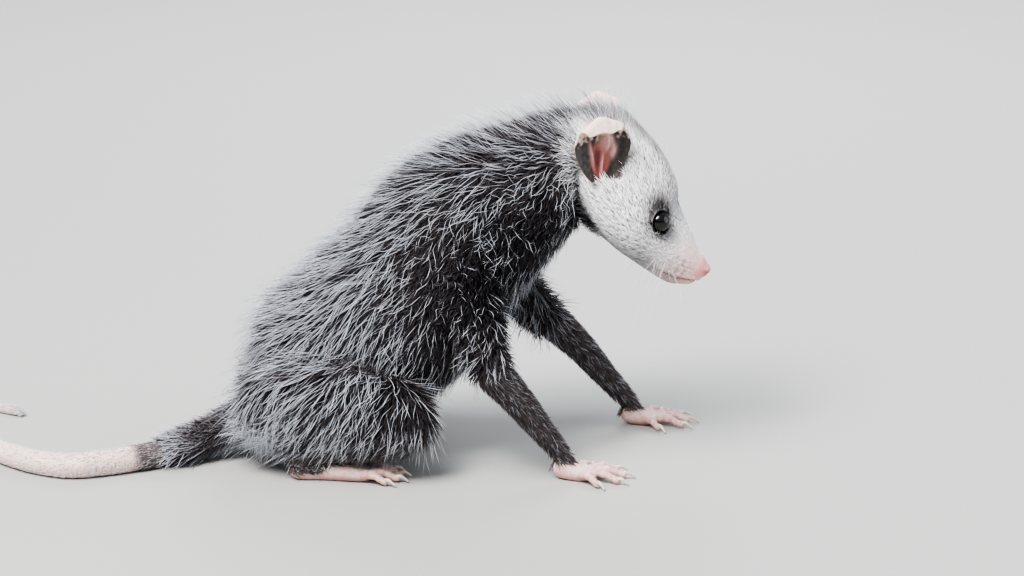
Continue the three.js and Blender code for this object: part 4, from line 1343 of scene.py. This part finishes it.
# Hands and feet: fine pale hairs on the back of the pads
roots, out, way, _, _ = scatter(paw * step(0.1, 0.5, normals[:, 2]) * DENSITY["paw_hairs"])
n = len(roots)
way = turned(way, out, rng.normal(0, 0.3, n))
tip = np.tile(WHITE, (n, 1))
hairs(
    "paw_hairs", roots, out, way, long=rng.uniform(0.8, 1.7, n), lift=0.35, wide=0.13, rings=2,
    base=tip * 0.8, tip=tip, sink=0.1,
)

# Tail hairs, except under the tail
n = 5200
u = rng.uniform(0.0, 0.985, n)
angle = rng.uniform(0, 2 * math.pi, n)
roots = tail.points(u, angle, -0.05)
stations, way = tail.sample(u)
out = unit(roots - stations[:, :3])
tip = mix(WHITE, TAIL_HAIR_GREY, 0.6 * step(12, 8, along_tail(u)))
keep = roots[:, 2] > 0.8
n = keep.sum()
hairs(
    "tail_hairs", roots[keep], out[keep], way[keep], long=rng.uniform(1.2, 2.2, n),
    lift=rng.uniform(0.25, 0.6, n), wide=0.14, rings=2, base=tip[keep] * 0.85, tip=tip[keep],
    sink=0.1,
)

# Whiskers, and bristles of the eyebrow, which start at the skin nearest to where they should stand
spots, ways, longs = [], [], []
for side in (RIGHT, LEFT):
    for row in range(WHISKER_ROWS):
        for k in range(WHISKERS_IN_ROW):
            spots.append(whisker_spot(side, row, k, 14.0))
            rise = 0.3 * row * (1 - 0.3 * k) - 0.07 * k * (3 - row)
            ways.append(unit(np.array([0.50 - 0.20 * k, side * 0.85, rise]) + 0.12 * rng.normal(0, 1, 3)))
            longs.append(12 + 3.4 * k + 2.5 * rng.uniform(-1, 1))
    for k in range(4):
        spots.append(on_head(26.0 + 0.8 * k, side * 12.0, 5.2 + 0.5 * k))
        ways.append(unit([0.45 - 0.1 * k, side * 0.5, 0.9]))
        longs.append(13 + 2 * k)
hit = np.nonzero(on_face)[0][nearest(points[on_face], spots)]
clear = np.min([distance(points[hit], centre) for _, centre, _ in eyes], axis=0) > 6.2
hit, ways, longs = hit[clear], np.array(ways)[clear], np.array(longs)[clear]
roots, out = points[hit], normals[hit]
ways = unit(ways - out * np.minimum(0, np.sum(ways * out, 1))[:, None])
down = np.array([-0.35, 0, -0.55])
droop = unit(down - ways * (ways @ down)[:, None])
hairs(
    "whiskers", roots, droop, ways, long=longs, lift=0.16 * longs, wide=0.13, rings=8,
    base=np.tile(WHISKER_ROOT, (len(roots), 1)), tip=np.tile(WHITE, (len(roots), 1)),
    mat=FACE_HAIR, sink=0.0, bow=2.0, curl=0.05,
)

# A round floor in metres that curves up into a low wall, the same from every side: [radius, height]
FLOOR = [
    (0.4, 0.0), (0.8, 0.0), (1.2, 0.0), (1.6, 0.0), (2.0, 0.02),
    (2.4, 0.1), (2.75, 0.27), (3.0, 0.52), (3.15, 0.85), (3.2, 1.3),
]
FLOOR_SIDES = 96
ring_points = [(r * math.cos(a), r * math.sin(a), h) for r, h in FLOOR for a in round_angles(FLOOR_SIDES)]
floor = bpy.data.meshes.new("floor")
floor.from_pydata(ring_points, [], [*tube_faces(len(FLOOR), FLOOR_SIDES), list(range(FLOOR_SIDES))])
floor.shade_smooth()
pale_floor = bpy.data.materials.new("pale_floor")
pale_floor.use_nodes = True
floor_shader = pale_floor.node_tree.nodes["Principled BSDF"]
set_inputs(floor_shader, {"Base Color": (0.40, 0.40, 0.39, 1), "Roughness": 0.8})
floor.materials.append(pale_floor)
ground = add_object("floor", floor)

# The light and the camera
scene = bpy.context.scene
world = bpy.data.worlds.new("studio")
scene.world = world
world.use_nodes = True
set_inputs(world.node_tree.nodes["Background"], {"Color": (0.86, 0.90, 1.0, 1), "Strength": 0.42})


def lamp(name, way, size, power, colour):
    """A round lamp that stands so many metres off the animal and shines on it."""
    light = bpy.data.lights.new(name, "AREA")
    light.shape = "DISK"
    light.size = size
    light.energy = power
    light.color = colour
    middle = Vector(to_row([20, 0, 50]))
    obj = add_object(name, light)
    obj.location = middle + Vector(way)
    obj.rotation_euler = (middle - obj.location).to_track_quat("-Z", "Y").to_euler()


sun = bpy.data.lights.new("sun", "SUN")
sun.energy = 2.6
sun.angle = math.radians(35)
sun.color = (1, 0.98, 0.96)
add_object("sun", sun).rotation_euler = Vector((-0.35, -0.40, 0.9)).to_track_quat("Z", "Y").to_euler()
lamp("key", (-0.35, -0.5, 0.7), size=0.3, power=4.2, colour=(1, 0.98, 0.95))
lamp("fill", (0.9, -0.1, 0.3), size=0.9, power=2.2, colour=(0.92, 0.96, 1))
lamp("rim", (0.1, 0.8, 0.6), size=0.5, power=3.0, colour=(0.95, 0.98, 1))

# The photo shows 0.3 mm a pixel at the animal, on a picture 1024 pixels wide seen from 3000 pixels off
MM_PER_PIXEL = 0.3
ELEVATION = math.radians(15)
TARGET = Vector(to_row([33.6, 0, 167 * MM_PER_PIXEL / math.cos(ELEVATION)]))
DISTANCE = 0.9
camera_data = bpy.data.cameras.new("camera")
camera_data.lens = 3000 / 1024 * camera_data.sensor_width
camera = add_object("camera", camera_data)
camera.location = TARGET + Vector((0, -math.cos(ELEVATION), math.sin(ELEVATION))) * DISTANCE
camera.rotation_euler = (math.pi / 2 - ELEVATION, 0, 0)
scene.camera = camera
scene.view_settings.view_transform = "AgX"
scene.view_settings.look = "AgX - High Contrast"
scene.view_settings.exposure = 0.45
